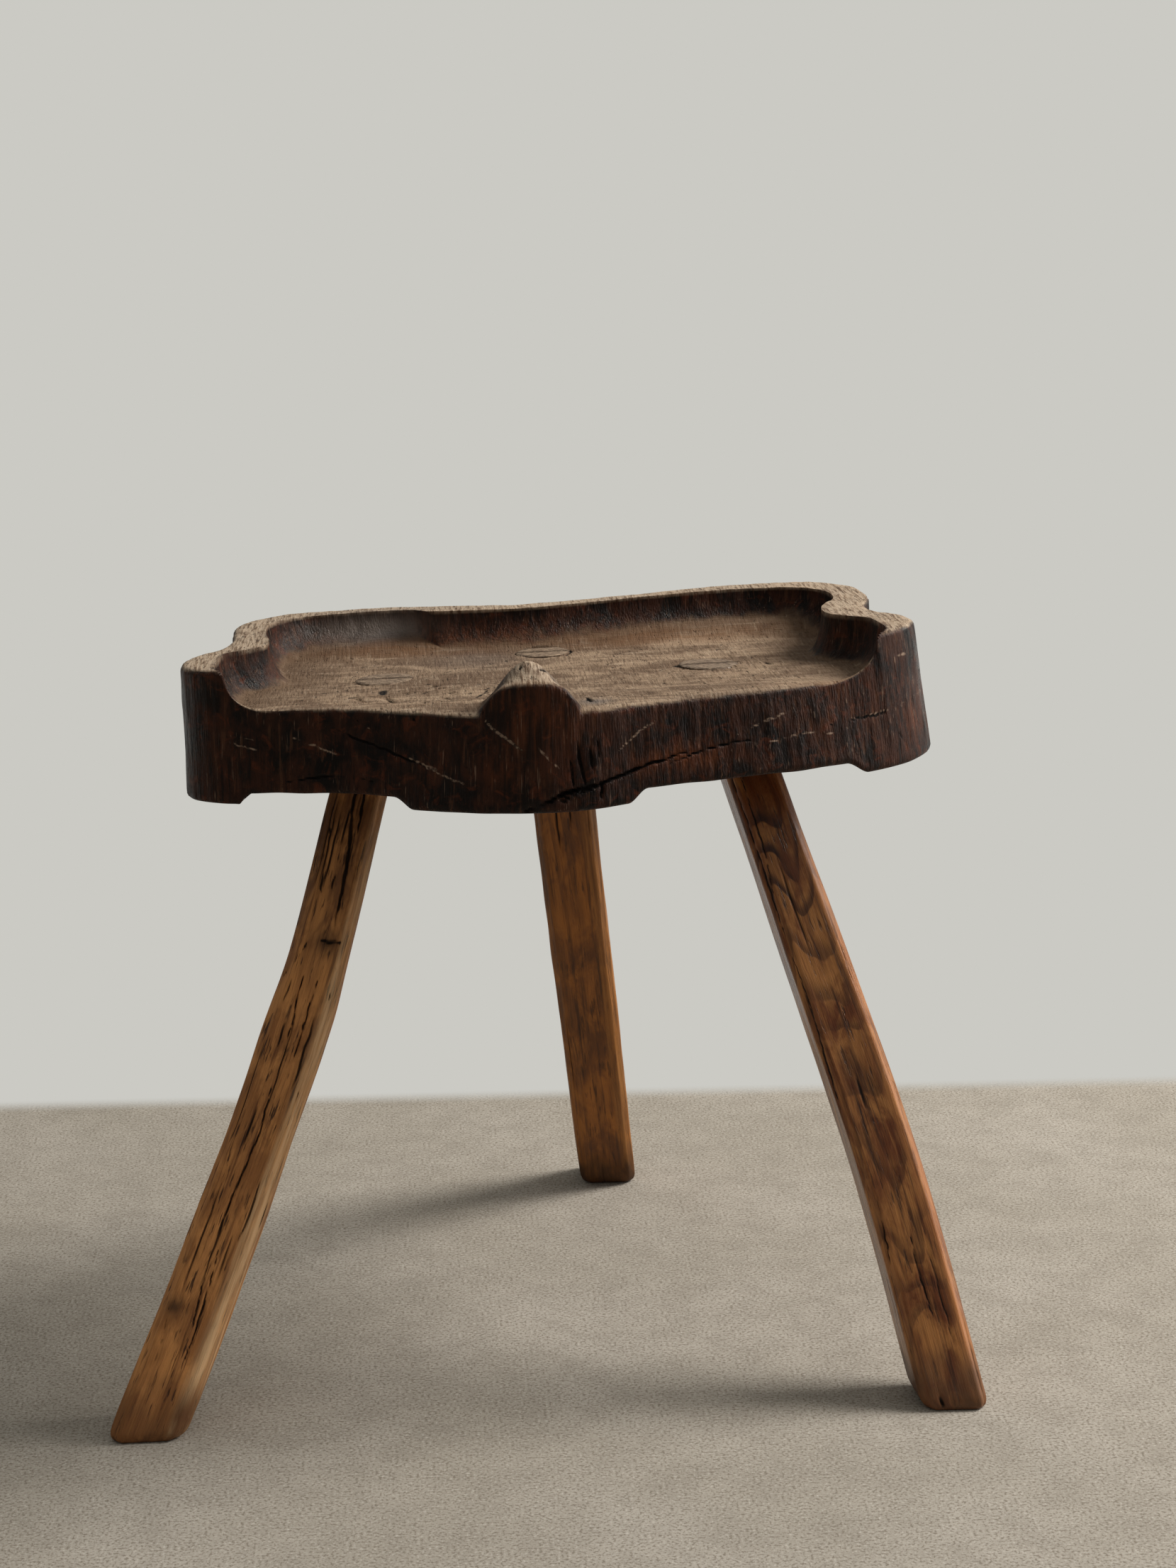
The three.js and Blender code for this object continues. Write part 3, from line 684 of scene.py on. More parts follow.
# ---- Legs ----
def leg_line(leg):
    """The leg's line in the stool's frame: its tenon's end, shoulder and axis, and its bowed body."""
    end = in_stool(leg["socket"])
    foot = np.array([*leg["foot"], 0.0])
    share = (leg["socket"][2] - leg["under"] + SHOULDER_DROP) / end[2]
    shoulder = lerp(end, foot, share)
    shoulder[0] += leg["shift"]
    bowed = []
    for i, (side, forward) in enumerate(leg["bow"]):
        p = lerp(end, foot, lerp(share, 1, (i + 1) / (len(leg["bow"]) + 1)))
        bowed.append(p + [side, -forward, 0])
    body = catmull([shoulder, *bowed, foot], False, 200)
    run = np.concatenate([[0], np.cumsum(np.linalg.norm(np.diff(body, axis=0), axis=1))])
    axis = (end - shoulder) / np.linalg.norm(end - shoulder)
    return dict(end=end, shoulder=shoulder, axis=axis, body=body, run=run)


def along_body(line, share):
    """A place on the leg's body and its upward direction, by share of the way down."""
    at = share * line["run"][-1]

    def place(run):
        return np.array([np.interp(run, line["run"], line["body"][:, i]) for i in range(3)])

    step = 1.0
    low, high = min(at + step, line["run"][-1]), max(at - step, 0)
    up = place(high) - place(low)
    return place(at), up / np.linalg.norm(up)


LEG_SIDES = 192  # points round a leg
FACE_SHARE, BEVEL_SHARE = 4, 1.3  # of the points round a leg, on each face and bevel
BODY_STATIONS = 236
TENON_STATIONS = 24
SHOULDER_STATIONS = 5
FOOT_STATIONS = 6
CAP_SCALES, SOLE_CAP_SCALES = (0.2, 0.4, 0.6, 0.8, 0.95), (0.6, 0.3)
LEVEL_SHARE = 0.3  # of the body, over which its sections turn from the slab's plane to level
TENON_END_ROUND = 0.5
ARRIS_PASSES = 3  # of smoothing round the section
LEG_GIRTH = 126  # the nominal length round a leg
END_GRAIN_DEPTH = 3  # how far below a tenon's end its end-grain look goes


def square_section(half_width, half_depth, bevel):
    """Points round a bevelled square, as across and forward, with slightly rounded arrises."""
    x, y = half_width - bevel, half_depth - bevel
    corners = np.array([
        (0, half_depth), (x, half_depth), (half_width, y), (half_width, -y), (x, -half_depth),
        (-x, -half_depth), (-half_width, -y), (-half_width, y), (-x, half_depth), (0, half_depth),
    ])
    runs = [FACE_SHARE / 2] + [BEVEL_SHARE, FACE_SHARE] * 3 + [BEVEL_SHARE, FACE_SHARE / 2]
    knots = np.concatenate([[0], np.cumsum(runs)])
    at = np.arange(LEG_SIDES) / LEG_SIDES * knots[-1]
    ring = np.stack([np.interp(at, knots, corners[:, i]) for i in range(2)], 1)
    for _ in range(ARRIS_PASSES):
        ring = (np.roll(ring, 1, 0) + 2 * ring + np.roll(ring, -1, 0)) / 4
    return ring


def leg_stations(leg, line):
    """Place, up, plane, roundness, share down the body and scale, from the tenon's end to the sole."""
    end, shoulder, axis = line["end"], line["shoulder"], line["axis"]
    stations = [(end, axis, SLAB_UP, 1, 0, scale) for scale in CAP_SCALES]
    length = np.linalg.norm(end - shoulder)
    for i in range(TENON_STATIONS):
        down = lerp(TENON_END_ROUND, length, i / (TENON_STATIONS - 1))
        stations.append((end - axis * down, axis, SLAB_UP, 1, 0, 1))
    first = SHOULDER_FALL / line["run"][-1]
    last = 1 - FOOT_ROUND / line["run"][-1]
    top, top_up = along_body(line, first)
    for i in range(1, SHOULDER_STATIONS):
        t = i / SHOULDER_STATIONS
        up = lerp(axis, top_up, t)
        stations.append((lerp(shoulder, top, t), up, SLAB_UP, 1 - smooth(t), 0, 1))
    for i in range(BODY_STATIONS):
        t = lerp(first, last, i / (BODY_STATIONS - 1))
        plane = lerp(SLAB_UP, FLOOR_UP, smooth(t / LEVEL_SHARE))
        place, up = along_body(line, t)
        stations.append((place, up, plane / np.linalg.norm(plane), 0, t, 1))
    for i in range(1, FOOT_STATIONS + 1):
        turn = i / FOOT_STATIONS * math.pi / 2
        place, up = along_body(line, lerp(last, 1, math.sin(turn)))
        stations.append((place, up, FLOOR_UP, 0, 1, lerp(1, SOLE_SCALE, 1 - math.cos(turn))))
    place, up = along_body(line, 1)
    stations += [(place, up, FLOOR_UP, 0, 1, scale) for scale in SOLE_CAP_SCALES]
    return stations


def leg_rings(leg, line):
    """Rings of points down the leg, and each point's own place in the wood: across, forward, along."""
    turn = leg["turn"] * DEG
    angle = np.arange(LEG_SIDES) / LEG_SIDES * 2 * np.pi
    circle = TENON_R * np.stack([np.sin(angle), np.cos(angle)], 1)
    rings, wood, along, before = [], [], 0.0, line["end"]
    for place, up, plane, roundness, t, scale in leg_stations(leg, line):
        half_width = table_value(leg["half_width"], t)
        half_depth = table_value(leg["half_depth"], t)
        section = lerp(square_section(half_width, half_depth, leg["bevel"]), circle, roundness)
        section = section * scale
        side = np.array([math.cos(turn), math.sin(turn), 0])
        side = side - up * (side @ up)
        side /= np.linalg.norm(side)
        front = np.cross(side, up)
        ring = section[:, :1] * side + section[:, 1:] * front
        ring -= np.outer(ring @ plane / (up @ plane), up)
        along += np.linalg.norm(place - before)
        before = place
        rings.append(ring + place)
        wood.append(np.column_stack([section, along + (ring @ up) * -1]))
    return rings, wood


# Heights of the hewn hollows and of the fibres, how many fine checks, and the leg's own seed.
LEG_SURFACES = {
    "front_left": dict(hollow=0.65, fibre=0.2, fine=46, seed=31),
    "front_right": dict(hollow=0.3, fibre=0.07, fine=16, seed=41),
    "rear": dict(hollow=0.4, fibre=0.12, fine=16, seed=51),
}
FINE_START, FINE_END = 60, 30  # the fine checks' least distance from each end
FINE_LENGTH, FINE_SLOPE = (14, 70), 0.015
FINE_HALF_WIDTH, FINE_DEPTH = (0.75, 1.1), (0.35, 0.9)


def fine_checks(wood, round_at, surface, length):
    """Many short, narrow checks along the fibres, placed by the leg's own seed."""
    rng = np.random.default_rng(surface["seed"])
    depth = np.zeros(len(wood))
    for _ in range(surface["fine"]):
        begin = rng.uniform(FINE_START, length - FINE_END)
        reach = rng.uniform(*FINE_LENGTH)
        place = rng.uniform(0, LEG_GIRTH)
        slope = rng.uniform(-FINE_SLOPE, FINE_SLOPE)
        half_width = rng.uniform(*FINE_HALF_WIDTH)
        deep = rng.uniform(*FINE_DEPTH)
        share = (wood[:, 2] - begin) / reach
        inside = (share > 0) & (share < 1)
        taper = np.where(inside, np.sin(np.pi * np.clip(share, 0, 1)) ** 0.5, 0)
        off = np.abs(round_at - place - slope * (wood[:, 2] - begin)) / half_width
        depth = np.maximum(depth, deep * taper * np.clip(1 - off, 0, 1))
    return depth


BODY_START, BODY_RAMP = 52, 14  # how far down a leg its hewn surface begins
SOLE_RAMP = (4, 3)  # the height by which the relief has faded out, and over how much
ARRIS_START, ARRIS_RAMP, ARRIS_SIZE = 0.42, 0.26, 17
FOOT_START, FOOT_RAMP, FOOT_WANDER = 34, 26, 9  # the height of the dirty foot, and its ragged edge
END_GRAIN_RAMP = 1.5


def leg_relief(wood, surface):
    """Hollows from hewing and raised fibres, in millimetres."""
    hollow, seed = surface["hollow"], surface["seed"]
    relief = hollow * value_noise(wood / [19, 19, 52], seed + 2)
    relief += 0.45 * hollow * value_noise(wood / [9, 9, 21], seed + 5)
    return relief + surface["fibre"] * value_noise(wood / [1.9, 1.9, 42], seed + 3)


def leg_looks(name, p, wood, close, body):
    """The attributes that a leg's material reads."""
    leg = LEGS[name]
    # the arrises, which the material rubs pale and paints with highlight
    corner = np.abs(wood[:, 0] * wood[:, 1]) / (ARRIS_SIZE * ARRIS_SIZE)
    arris_wear_and_highlight = smooth((corner - ARRIS_START) / ARRIS_RAMP) * body
    knots = [(at, (size, size, size), 1) for at, size in KNOTS[name]]
    ragged = FOOT_WANDER * value_noise(wood / [7, 7, 12], 12)
    foot = smooth((FOOT_START - p[:, 2] + ragged) / FOOT_RAMP)
    slab_w = ((p - [0, 0, SEAT_HEIGHT]) @ SLAB_TO_STOOL)[:, 2]
    end = smooth((slab_w - leg["socket"][2] + END_GRAIN_DEPTH) / END_GRAIN_RAMP)
    marks = np.stack([close * body, arris_wear_and_highlight, end], 1)
    stains = np.stack([foot, stain(p + STOOL_TO_ROW, knots), np.zeros(len(p))], 1)
    return {"wood": wood, "marks": marks, "stains": stains}


def make_leg(name):
    leg, surface = LEGS[name], LEG_SURFACES[name]
    line = leg_line(leg)
    rings, wood = leg_rings(leg, line)
    rings = [line["end"][None]] + rings + [np.array([[*leg["foot"], 0.0]])]
    length = line["run"][-1] + np.linalg.norm(line["end"] - line["shoulder"])
    wood = np.concatenate([np.zeros((1, 3))] + wood + [np.array([[0, 0, length]])])
    faces = join_rings([len(r) for r in rings])
    p = np.concatenate(rings)
    n = point_normals(p, faces)
    stray = 0.5 * value_noise(wood / [9, 9, 7], surface["seed"] + 1)
    around = np.arange(LEG_SIDES) * LEG_GIRTH / LEG_SIDES
    round_at = np.concatenate([[0], np.tile(around, len(rings) - 2), [0]])
    fine = fine_checks(wood, round_at + stray, surface, length)
    depth, close = carve(p + STOOL_TO_ROW, LEG_CHECKS[name], surface["seed"] + 4)
    body = smooth((wood[:, 2] - BODY_START) / BODY_RAMP)
    sole = smooth((SOLE_RAMP[0] - p[:, 2]) / SOLE_RAMP[1])
    relief = leg_relief(wood, surface) * (1 - sole) - np.maximum(depth, fine)
    moved = p + n * (relief * body)[:, None]
    moved[:, 2] = np.maximum(moved[:, 2], 0)
    looks = leg_looks(name, p, wood, np.maximum(close, fine / FINE_DEPTH[1]), body)
    return make_object("leg_" + name + "_hewn", moved + STOOL_TO_ROW, faces, looks)


def rod(start, end, radius, sides, name):
    """A plain closed rod, used only to cut with."""
    axis = (end - start) / np.linalg.norm(end - start)
    side = np.cross(axis, [0, 1, 0])
    side /= np.linalg.norm(side)
    other = np.cross(side, axis)
    angle = np.arange(sides) / sides * 2 * np.pi
    ring = radius * (np.outer(np.sin(angle), side) + np.outer(-np.cos(angle), other))
    rings = [end[None], ring + end, ring + start, start[None]]
    return make_object(name, np.concatenate(rings) + STOOL_TO_ROW, join_rings([1, sides, sides, 1]), {})


def make_socket(leg):
    line = leg_line(leg)
    past = line["axis"] * SOCKET_PAST
    start, end = line["shoulder"] - past, line["end"] + past
    return rod(start, end, TENON_R + SOCKET_GAP, SOCKET_SIDES, "socket")


def make_blade(leg, gap, name):
    """A tapered blade across the tenon, its edge down along the tenon."""
    line = leg_line(leg)
    axis = line["axis"]
    across = np.array([1.0, 0, 0]) - axis * axis[0]
    across /= np.linalg.norm(across)
    thick = np.cross(axis, across)
    slope = (WEDGE_TOP - WEDGE_TIP) / WEDGE_DEPTH
    wide = 2 * TENON_R
    points = []
    heights = np.concatenate([[BLADE_OVER], np.linspace(0, -WEDGE_DEPTH - gap, BLADE_STEPS)])
    for h in heights:
        half = max(WEDGE_TOP / 2 + slope / 2 * h, WEDGE_TIP / 2) + gap
        corners = [(-wide, -half), (wide, -half), (wide, half), (-wide, half)]
        ring = [line["end"] + across * a - thick * b + axis * h for a, b in corners]
        points.append(np.array(ring))
    faces = join_rings([1] + [len(ring) for ring in points] + [1])
    points = [points[0].mean(0)[None]] + points + [points[-1].mean(0)[None]]
    return make_object(name, np.concatenate(points) + STOOL_TO_ROW, faces, {})


# ---- Materials ----
def paint(red, green, blue):
    """A display colour, 0 to 255, as the renderer's linear colour."""
    channels = [c / 255 for c in (red, green, blue)]
    return (*[c / 12.92 if c <= 0.04045 else ((c + 0.055) / 1.055) ** 2.4 for c in channels], 1)


class Shade:
    """Builds one material's node tree."""

    def __init__(self, name):
        self.material = bpy.data.materials.new(name)
        self.material.use_nodes = True
        self.nodes = self.material.node_tree.nodes
        self.links = self.material.node_tree.links
        self.nodes.clear()
        self.shader = self.nodes.new("ShaderNodeBsdfPrincipled")
        output = self.nodes.new("ShaderNodeOutputMaterial")
        self.links.new(self.shader.outputs[0], output.inputs[0])

    def put(self, socket, value):
        if isinstance(value, bpy.types.NodeSocket):
            self.links.new(value, socket)
        else:
            socket.default_value = value

    def place(self):
        """Position on the object, in millimetres."""
        return self.scale(self.nodes.new("ShaderNodeTexCoord").outputs["Object"], (1 / MM,) * 3)

    def scale(self, vector, factors):
        node = self.nodes.new("ShaderNodeVectorMath")
        node.operation = "MULTIPLY"
        self.put(node.inputs[0], vector)
        node.inputs[1].default_value = factors
        return node.outputs[0]

    def cells(self, vector, sizes):
        return self.scale(vector, tuple(1 / s for s in sizes))

    def attribute(self, name):
        node = self.nodes.new("ShaderNodeAttribute")
        node.attribute_name = name
        return node.outputs["Vector"]

    def split(self, vector):
        node = self.nodes.new("ShaderNodeSeparateXYZ")
        self.put(node.inputs[0], vector)
        return node.outputs[0], node.outputs[1], node.outputs[2]

    def noise(self, vector, detail=3.0, roughness=0.55, distortion=0.0):
        node = self.nodes.new("ShaderNodeTexNoise")
        self.put(node.inputs["Vector"], vector)
        node.inputs["Scale"].default_value = 1
        node.inputs["Detail"].default_value = detail
        node.inputs["Roughness"].default_value = roughness
        node.inputs["Distortion"].default_value = distortion
        return node.outputs["Fac"]

    def maths(self, operation, a, b=0.0):
        node = self.nodes.new("ShaderNodeMath")
        node.operation = operation
        self.put(node.inputs[0], a)
        self.put(node.inputs[1], b)
        return node.outputs[0]

    def times(self, a, b):
        return self.maths("MULTIPLY", a, b)

    def plus(self, a, b):
        return self.maths("ADD", a, b)

    def minus(self, a, b):
        return self.maths("SUBTRACT", a, b)

    def band(self, value, low, high, start=0.0, end=1.0):
        """A smooth ramp from start to end as the value goes from low to high."""
        node = self.nodes.new("ShaderNodeMapRange")
        node.interpolation_type = "SMOOTHSTEP"
        self.put(node.inputs["Value"], value)
        for key, number in (("From Min", low), ("From Max", high), ("To Min", start), ("To Max", end)):
            node.inputs[key].default_value = number
        return node.outputs[0]

    def mix(self, share, a, b):
        node = self.nodes.new("ShaderNodeMix")
        node.data_type = "RGBA"
        self.put(node.inputs[0], share)
        self.put(node.inputs[6], a)
        self.put(node.inputs[7], b)
        return node.outputs[2]

    def layers(self, colour, *coats):
        """The colour with other colours over it in turn, each a share and a display colour."""
        for share, coat in coats:
            colour = self.mix(share, colour, paint(*coat))
        return colour

    def blend(self, share, a, b):
        """As mix, but for plain values."""
        node = self.nodes.new("ShaderNodeMix")
        self.put(node.inputs[0], share)
        self.put(node.inputs[2], a)
        self.put(node.inputs[3], b)
        return node.outputs[0]

    def bump(self, height, distance, strength=1.0):
        node = self.nodes.new("ShaderNodeBump")
        node.inputs["Strength"].default_value = strength
        node.inputs["Distance"].default_value = distance * MM
        self.put(node.inputs["Height"], height)
        self.put(self.shader.inputs["Normal"], node.outputs[0])

    def set(self, **values):
        for key, value in values.items():
            self.put(self.shader.inputs[key.replace("_", " ")], value)


# Display colours, 0 to 255.
TOP_BROWN, TOP_TAN, TOP_UMBER, TOP_PALE = (118, 96, 77), (162, 138, 114), (88, 67, 51), (188, 167, 143)
# Of the top's colours below, the dirt one is dirt with painted shade, by the dish's wall.
TOP_RUBBED, TOP_PORES, TOP_DIRT_AND_SHADE = (190, 170, 148), (56, 42, 32), (84, 61, 43)
TOP_ORANGE, TOP_GREY = (142, 96, 58), (104, 98, 96)
SIDE_BLACK, SIDE_BROWN, SIDE_RED, SIDE_TAN = (14, 6, 4), (60, 31, 18), (88, 42, 21), (92, 60, 40)
SIDE_SCRATCH, SIDE_ORANGE, SIDE_GREY = (150, 124, 106), (112, 58, 26), (124, 113, 106)
SEAT_CRACK, SEAT_DUST = (13, 8, 6), (158, 134, 116)
LEG_CRACK, LEG_KNOT = (20, 12, 8), (34, 22, 14)
END_GRAIN_DARK, END_GRAIN_LIGHT = (98, 80, 64), (162, 140, 118)
WEDGE_DARK, WEDGE_LIGHT, WEDGE_SPOTS = (78, 62, 49), (132, 112, 92), (48, 36, 28)


def seat_top(m, p, grey, orange, zones):
    """Colour, height and roughness of the pale, dry, rubbed top."""
    dirt_and_shade, lip, rim = zones
    cloud = m.noise(m.cells(p, (46, 30, 30)), 4, 0.6, 0.5)
    bands = m.noise(m.cells(p, (40, 9, 12)), 4, 0.65, 1.2)
    fibre = m.noise(m.cells(p, (1.3, 15, 6)), 4, 0.6)
    cross = m.noise(m.cells(p, (9, 1.2, 4)), 3, 0.6)
    pores = m.noise(m.cells(p, (2.2, 5.5, 3)), 3, 0.6)
    rubbed = m.maths("MAXIMUM", m.times(lip, 0.3), m.times(rim, 0.85))
    colour = m.mix(m.band(cloud, 0.4, 0.62), paint(*TOP_BROWN), paint(*TOP_TAN))
    colour = m.layers(
        colour,
        (m.band(bands, 0.48, 0.68, 0, 0.55), TOP_UMBER),
        (m.band(bands, 0.44, 0.26, 0, 0.55), TOP_PALE),
        (m.band(fibre, 0.52, 0.7, 0, 0.75), TOP_UMBER),
        (m.band(fibre, 0.46, 0.28, 0, 0.45), TOP_PALE),
        (m.band(cross, 0.56, 0.74, 0, 0.4), TOP_UMBER),
        (m.times(rubbed, m.band(fibre, 0.66, 0.4)), TOP_RUBBED),
        (m.band(pores, 0.6, 0.7, 0, 0.75), TOP_PORES),
        (m.times(orange, m.band(bands, 0.3, 0.6, 0.35, 0.95)), TOP_ORANGE),
        # dirt, with painted shade, at the foot of the dish's wall and up it
        (m.times(dirt_and_shade, m.band(cloud, 0.3, 0.62, 0.25, 0.7)), TOP_DIRT_AND_SHADE),
        # grey stains, and the painted highlight on the back-left wall
        (m.times(grey, 0.75), TOP_GREY),
    )
    height = m.minus(fibre, m.times(m.band(pores, 0.58, 0.74), 0.6))
    height = m.plus(height, m.times(cross, 0.7))
    rough = m.minus(m.band(fibre, 0.3, 0.7, 0.78, 0.9), m.times(rim, 0.12))
    return colour, height, rough


def seat_side(m, p, grey, orange, gloss):
    """Colour, height and roughness of the dark, handled sides: end grain scored up and down."""
    cloud = m.noise(m.cells(p, (13, 13, 20)), 4, 0.62, 0.4)
    red = m.noise(m.cells(p, (10, 10, 9)), 4, 0.65, 0.8)
    streak = m.noise(m.cells(p, (2.4, 2.4, 26)), 4, 0.6)
    groove = m.noise(m.cells(p, (0.9, 0.9, 24)), 2, 0.5)
    where = m.noise(m.cells(p, (7, 7, 16)), 3, 0.65)
    grit = m.noise(m.cells(p, (1.5, 1.5, 2.2)), 3, 0.6)
    scratch = m.times(m.band(groove, 0.6, 0.7), m.band(where, 0.5, 0.62))
    colour = m.mix(m.band(cloud, 0.36, 0.66), paint(*SIDE_BLACK), paint(*SIDE_BROWN))
    colour = m.layers(
        colour,
        (m.band(red, 0.53, 0.7, 0, 0.75), SIDE_RED),
        (m.band(streak, 0.54, 0.68, 0, 0.8), SIDE_BLACK),
        (m.band(streak, 0.44, 0.32, 0, 0.5), SIDE_TAN),
        (m.band(grit, 0.6, 0.72, 0, 0.5), SIDE_BLACK),
        (m.times(orange, m.band(streak, 0.36, 0.6, 0.85, 0.2)), SIDE_ORANGE),
        (m.times(scratch, 0.5), SIDE_SCRATCH),
        # grey stains, and the painted highlight on the back-left wall
        (m.times(grey, m.band(cloud, 0.3, 0.6, 0.45, 0.9)), SIDE_GREY),
    )
    rough = m.plus(m.band(cloud, 0.32, 0.68, 0.46, 0.62), m.times(scratch, 0.25))
    rough = m.plus(m.minus(rough, m.times(gloss, 0.32)), m.band(grit, 0.5, 0.75, 0, 0.15))
    return colour, m.plus(streak, m.times(groove, 0.8)), rough


def seat_material():
    m = Shade("seat_wood")
    p = m.place()
    grey, orange, gloss = m.split(m.attribute("tint"))
    check, dust, worn = m.split(m.attribute("marks"))
    zones = m.split(m.attribute("zones"))
    top, top_height, top_rough = seat_top(m, p, grey, orange, zones)
    side, side_height, side_rough = seat_side(m, p, grey, orange, gloss)
    grit = m.noise(m.cells(p, (2.2, 2.2, 2.2)), 3)
    dusty = m.times(m.band(dust, 0.15, 0.6), m.band(grit, 0.38, 0.56, 0.1, 0.85))
    dark = m.times(m.band(check, 0.08, 0.45), m.minus(1.0, dusty))
    dark = m.times(dark, m.band(grit, 0.3, 0.5, 0.7, 1.0))
    colour = m.layers(m.mix(worn, side, top), (dark, SEAT_CRACK), (dusty, SEAT_DUST))
    rough = m.blend(dark, m.blend(worn, side_rough, top_rough), 0.95)
    height = m.blend(worn, side_height, top_height)
    m.bump(m.plus(height, m.times(grit, 0.3)), 0.9, 0.8)
    m.set(Base_Color=colour, Roughness=rough, Specular_IOR_Level=0.2)
    return m.material


# Each leg's wood. Colours: light and dark wood, the late wood of its rings, flecks, rubbed arris with
# painted highlight, dirty foot, and another colour high up. Rings: where the pith runs beside the leg,
# its lean, their width, how far they wander (warp) and how strongly they show. Then roughness, bump
# height in millimetres, how strongly flecks show, the clear coat, and how much the painted arris highlight
# shows on the left.
LEG_WOODS = {
    "front_left": dict(
        slot="leg_left_wood", light=(224, 156, 92), dark=(170, 112, 62), late=(104, 60, 31),
        fleck=(50, 28, 16), arris_wear_and_highlight=(240, 198, 150), foot=(112, 74, 44), high=(98, 64, 40),
        pith=(38, -30), lean=(0.02, 0.05), rings=4.6, warp=5, late_share=0.3,
        rough=(0.5, 0.7), bump=1.0, flecks=0.9, coat=0.0, left_arris_highlight=0.0,
    ),
    "front_right": dict(
        slot="leg_right_wood", light=(188, 128, 72), dark=(114, 62, 32), late=(40, 18, 12),
        fleck=(30, 16, 10), arris_wear_and_highlight=(190, 126, 76), foot=(96, 64, 40), high=(118, 62, 30),
        pith=(-14, -24), lean=(-0.05, 0.16), rings=5.2, warp=11, late_share=1.0,
        rough=(0.24, 0.42), bump=0.45, flecks=0.7, coat=0.25, left_arris_highlight=0.3,
    ),
    "rear": dict(
        slot="leg_rear_wood", light=(172, 108, 46), dark=(112, 66, 27), late=(64, 37, 16),
        fleck=(40, 23, 12), arris_wear_and_highlight=(170, 114, 58), foot=(80, 52, 28), high=(104, 62, 28),
        pith=(30, -34), lean=(0.01, 0.03), rings=4.4, warp=6, late_share=0.45,
        rough=(0.4, 0.6), bump=0.5, flecks=0.6, coat=0.0, left_arris_highlight=0.3,
    ),
}
KNOT_PUSH = 5  # how far a knot pushes the rings aside
UPPER_LEG = (110, 190)  # how far down a leg its upper look fades out
ARRIS_FROM = (60, 130)  # how far down a leg its arrises begin to be rubbed pale, with painted highlight
COAT_ROUGHNESS = 0.2


def growth_rings(m, wood, knot, look):
    """How much late wood shows, from 0 to 1, in rings round a leaning pith beside the leg."""
    across, forward, along = m.split(wood)
    warp = m.noise(m.cells(wood, (26, 26, 66)), 2, 0.4)
    warp = m.times(m.minus(warp, 0.5), look["warp"] * 2)
    squares = []
    for offset, lean, pith in zip((across, forward), look["lean"], look["pith"]):
        side = m.plus(m.minus(m.plus(offset, m.times(along, lean)), pith), warp)
        squares.append(m.times(side, side))
    radius = m.plus(m.maths("SQRT", m.plus(*squares)), m.times(knot, KNOT_PUSH))
    ring = m.maths("FRACT", m.maths("DIVIDE", radius, look["rings"]))
    return m.times(m.band(ring, 0.45, 0.86), m.band(ring, 1.0, 0.93))


def leg_material(name):
    look = LEG_WOODS[name]
    m = Shade(look["slot"])
    wood = m.attribute("wood")
    across, _, along = m.split(wood)
    check, arris_wear_and_highlight, end = m.split(m.attribute("marks"))
    foot, knot, _ = m.split(m.attribute("stains"))
    upper = m.band(along, UPPER_LEG[1], UPPER_LEG[0])

    fibre = m.noise(m.cells(wood, (0.9, 0.9, 24)), 4, 0.62)
    streak = m.noise(m.cells(wood, (2.6, 2.6, 60)), 4, 0.6)
    cloud = m.noise(m.cells(wood, (13, 13, 34)), 4, 0.62, 0.6)
    flecks = m.noise(m.cells(wood, (1.5, 1.5, 17)), 3, 0.55)
    where = m.noise(m.cells(wood, (8, 8, 26)), 3)
    grain = m.noise(m.cells(wood, (3.4, 1.6, 2)), 4, 0.65)

    patchy = m.times(m.band(cloud, 0.34, 0.55, 0.5, 1), m.plus(m.times(upper, 0.5), 0.5))
    late = m.times(growth_rings(m, wood, knot, look), m.times(patchy, look["late_share"]))
    fleck = m.times(m.band(flecks, 0.57, 0.64), m.band(where, 0.42, 0.58, 0.15, 1))
    # arrises rubbed pale, with a painted highlight that is stronger on the right-hand arris
    lit = m.times(arris_wear_and_highlight, m.band(streak, 0.36, 0.58, 0.95, 0.35))
    lit = m.times(lit, m.band(across, 3, 11, look["left_arris_highlight"], 1.0))
    end_grain = m.band(grain, 0.35, 0.65)
    colour = m.mix(m.band(cloud, 0.36, 0.64), paint(*look["dark"]), paint(*look["light"]))
    colour = m.layers(
        colour,
        (m.band(streak, 0.53, 0.7, 0, 0.75), look["late"]),
        (m.band(streak, 0.46, 0.3, 0, 0.6), look["light"]),
        (m.band(fibre, 0.52, 0.7, 0, 0.6), look["dark"]),
        (late, look["late"]),
        # another colour over the upper part of the leg, fading out further down
        (m.times(upper, m.band(cloud, 0.62, 0.4, 0.2, 0.6)), look["high"]),
        (m.times(fleck, look["flecks"]), look["fleck"]),
        (m.times(lit, m.band(along, *ARRIS_FROM, 0.35, 1.0)), look["arris_wear_and_highlight"]),
        (m.times(foot, m.band(cloud, 0.35, 0.62, 0.5, 1.0)), look["foot"]),
        (m.times(knot, 0.75), LEG_KNOT),
        (m.band(check, 0.15, 0.6, 0, 0.94), LEG_CRACK),
    )
    colour = m.mix(end, colour, m.mix(end_grain, paint(*END_GRAIN_DARK), paint(*END_GRAIN_LIGHT)))

    rough = m.plus(m.times(fibre, 0.5), m.times(cloud, 0.5))
    rough = m.band(rough, 0.35, 0.65, *look["rough"])
    rough = m.blend(m.maths("MAXIMUM", foot, end), rough, 0.78)
    rough = m.blend(m.band(check, 0.1, 0.5), rough, 0.9)
    height = m.minus(m.minus(fibre, m.times(fleck, 0.6)), m.times(late, 0.3))
    m.bump(height, look["bump"], 0.7)
    m.set(Base_Color=colour, Roughness=rough, Specular_IOR_Level=0.35)
    m.set(Coat_Weight=look["coat"], Coat_Roughness=COAT_ROUGHNESS)
    return m.material


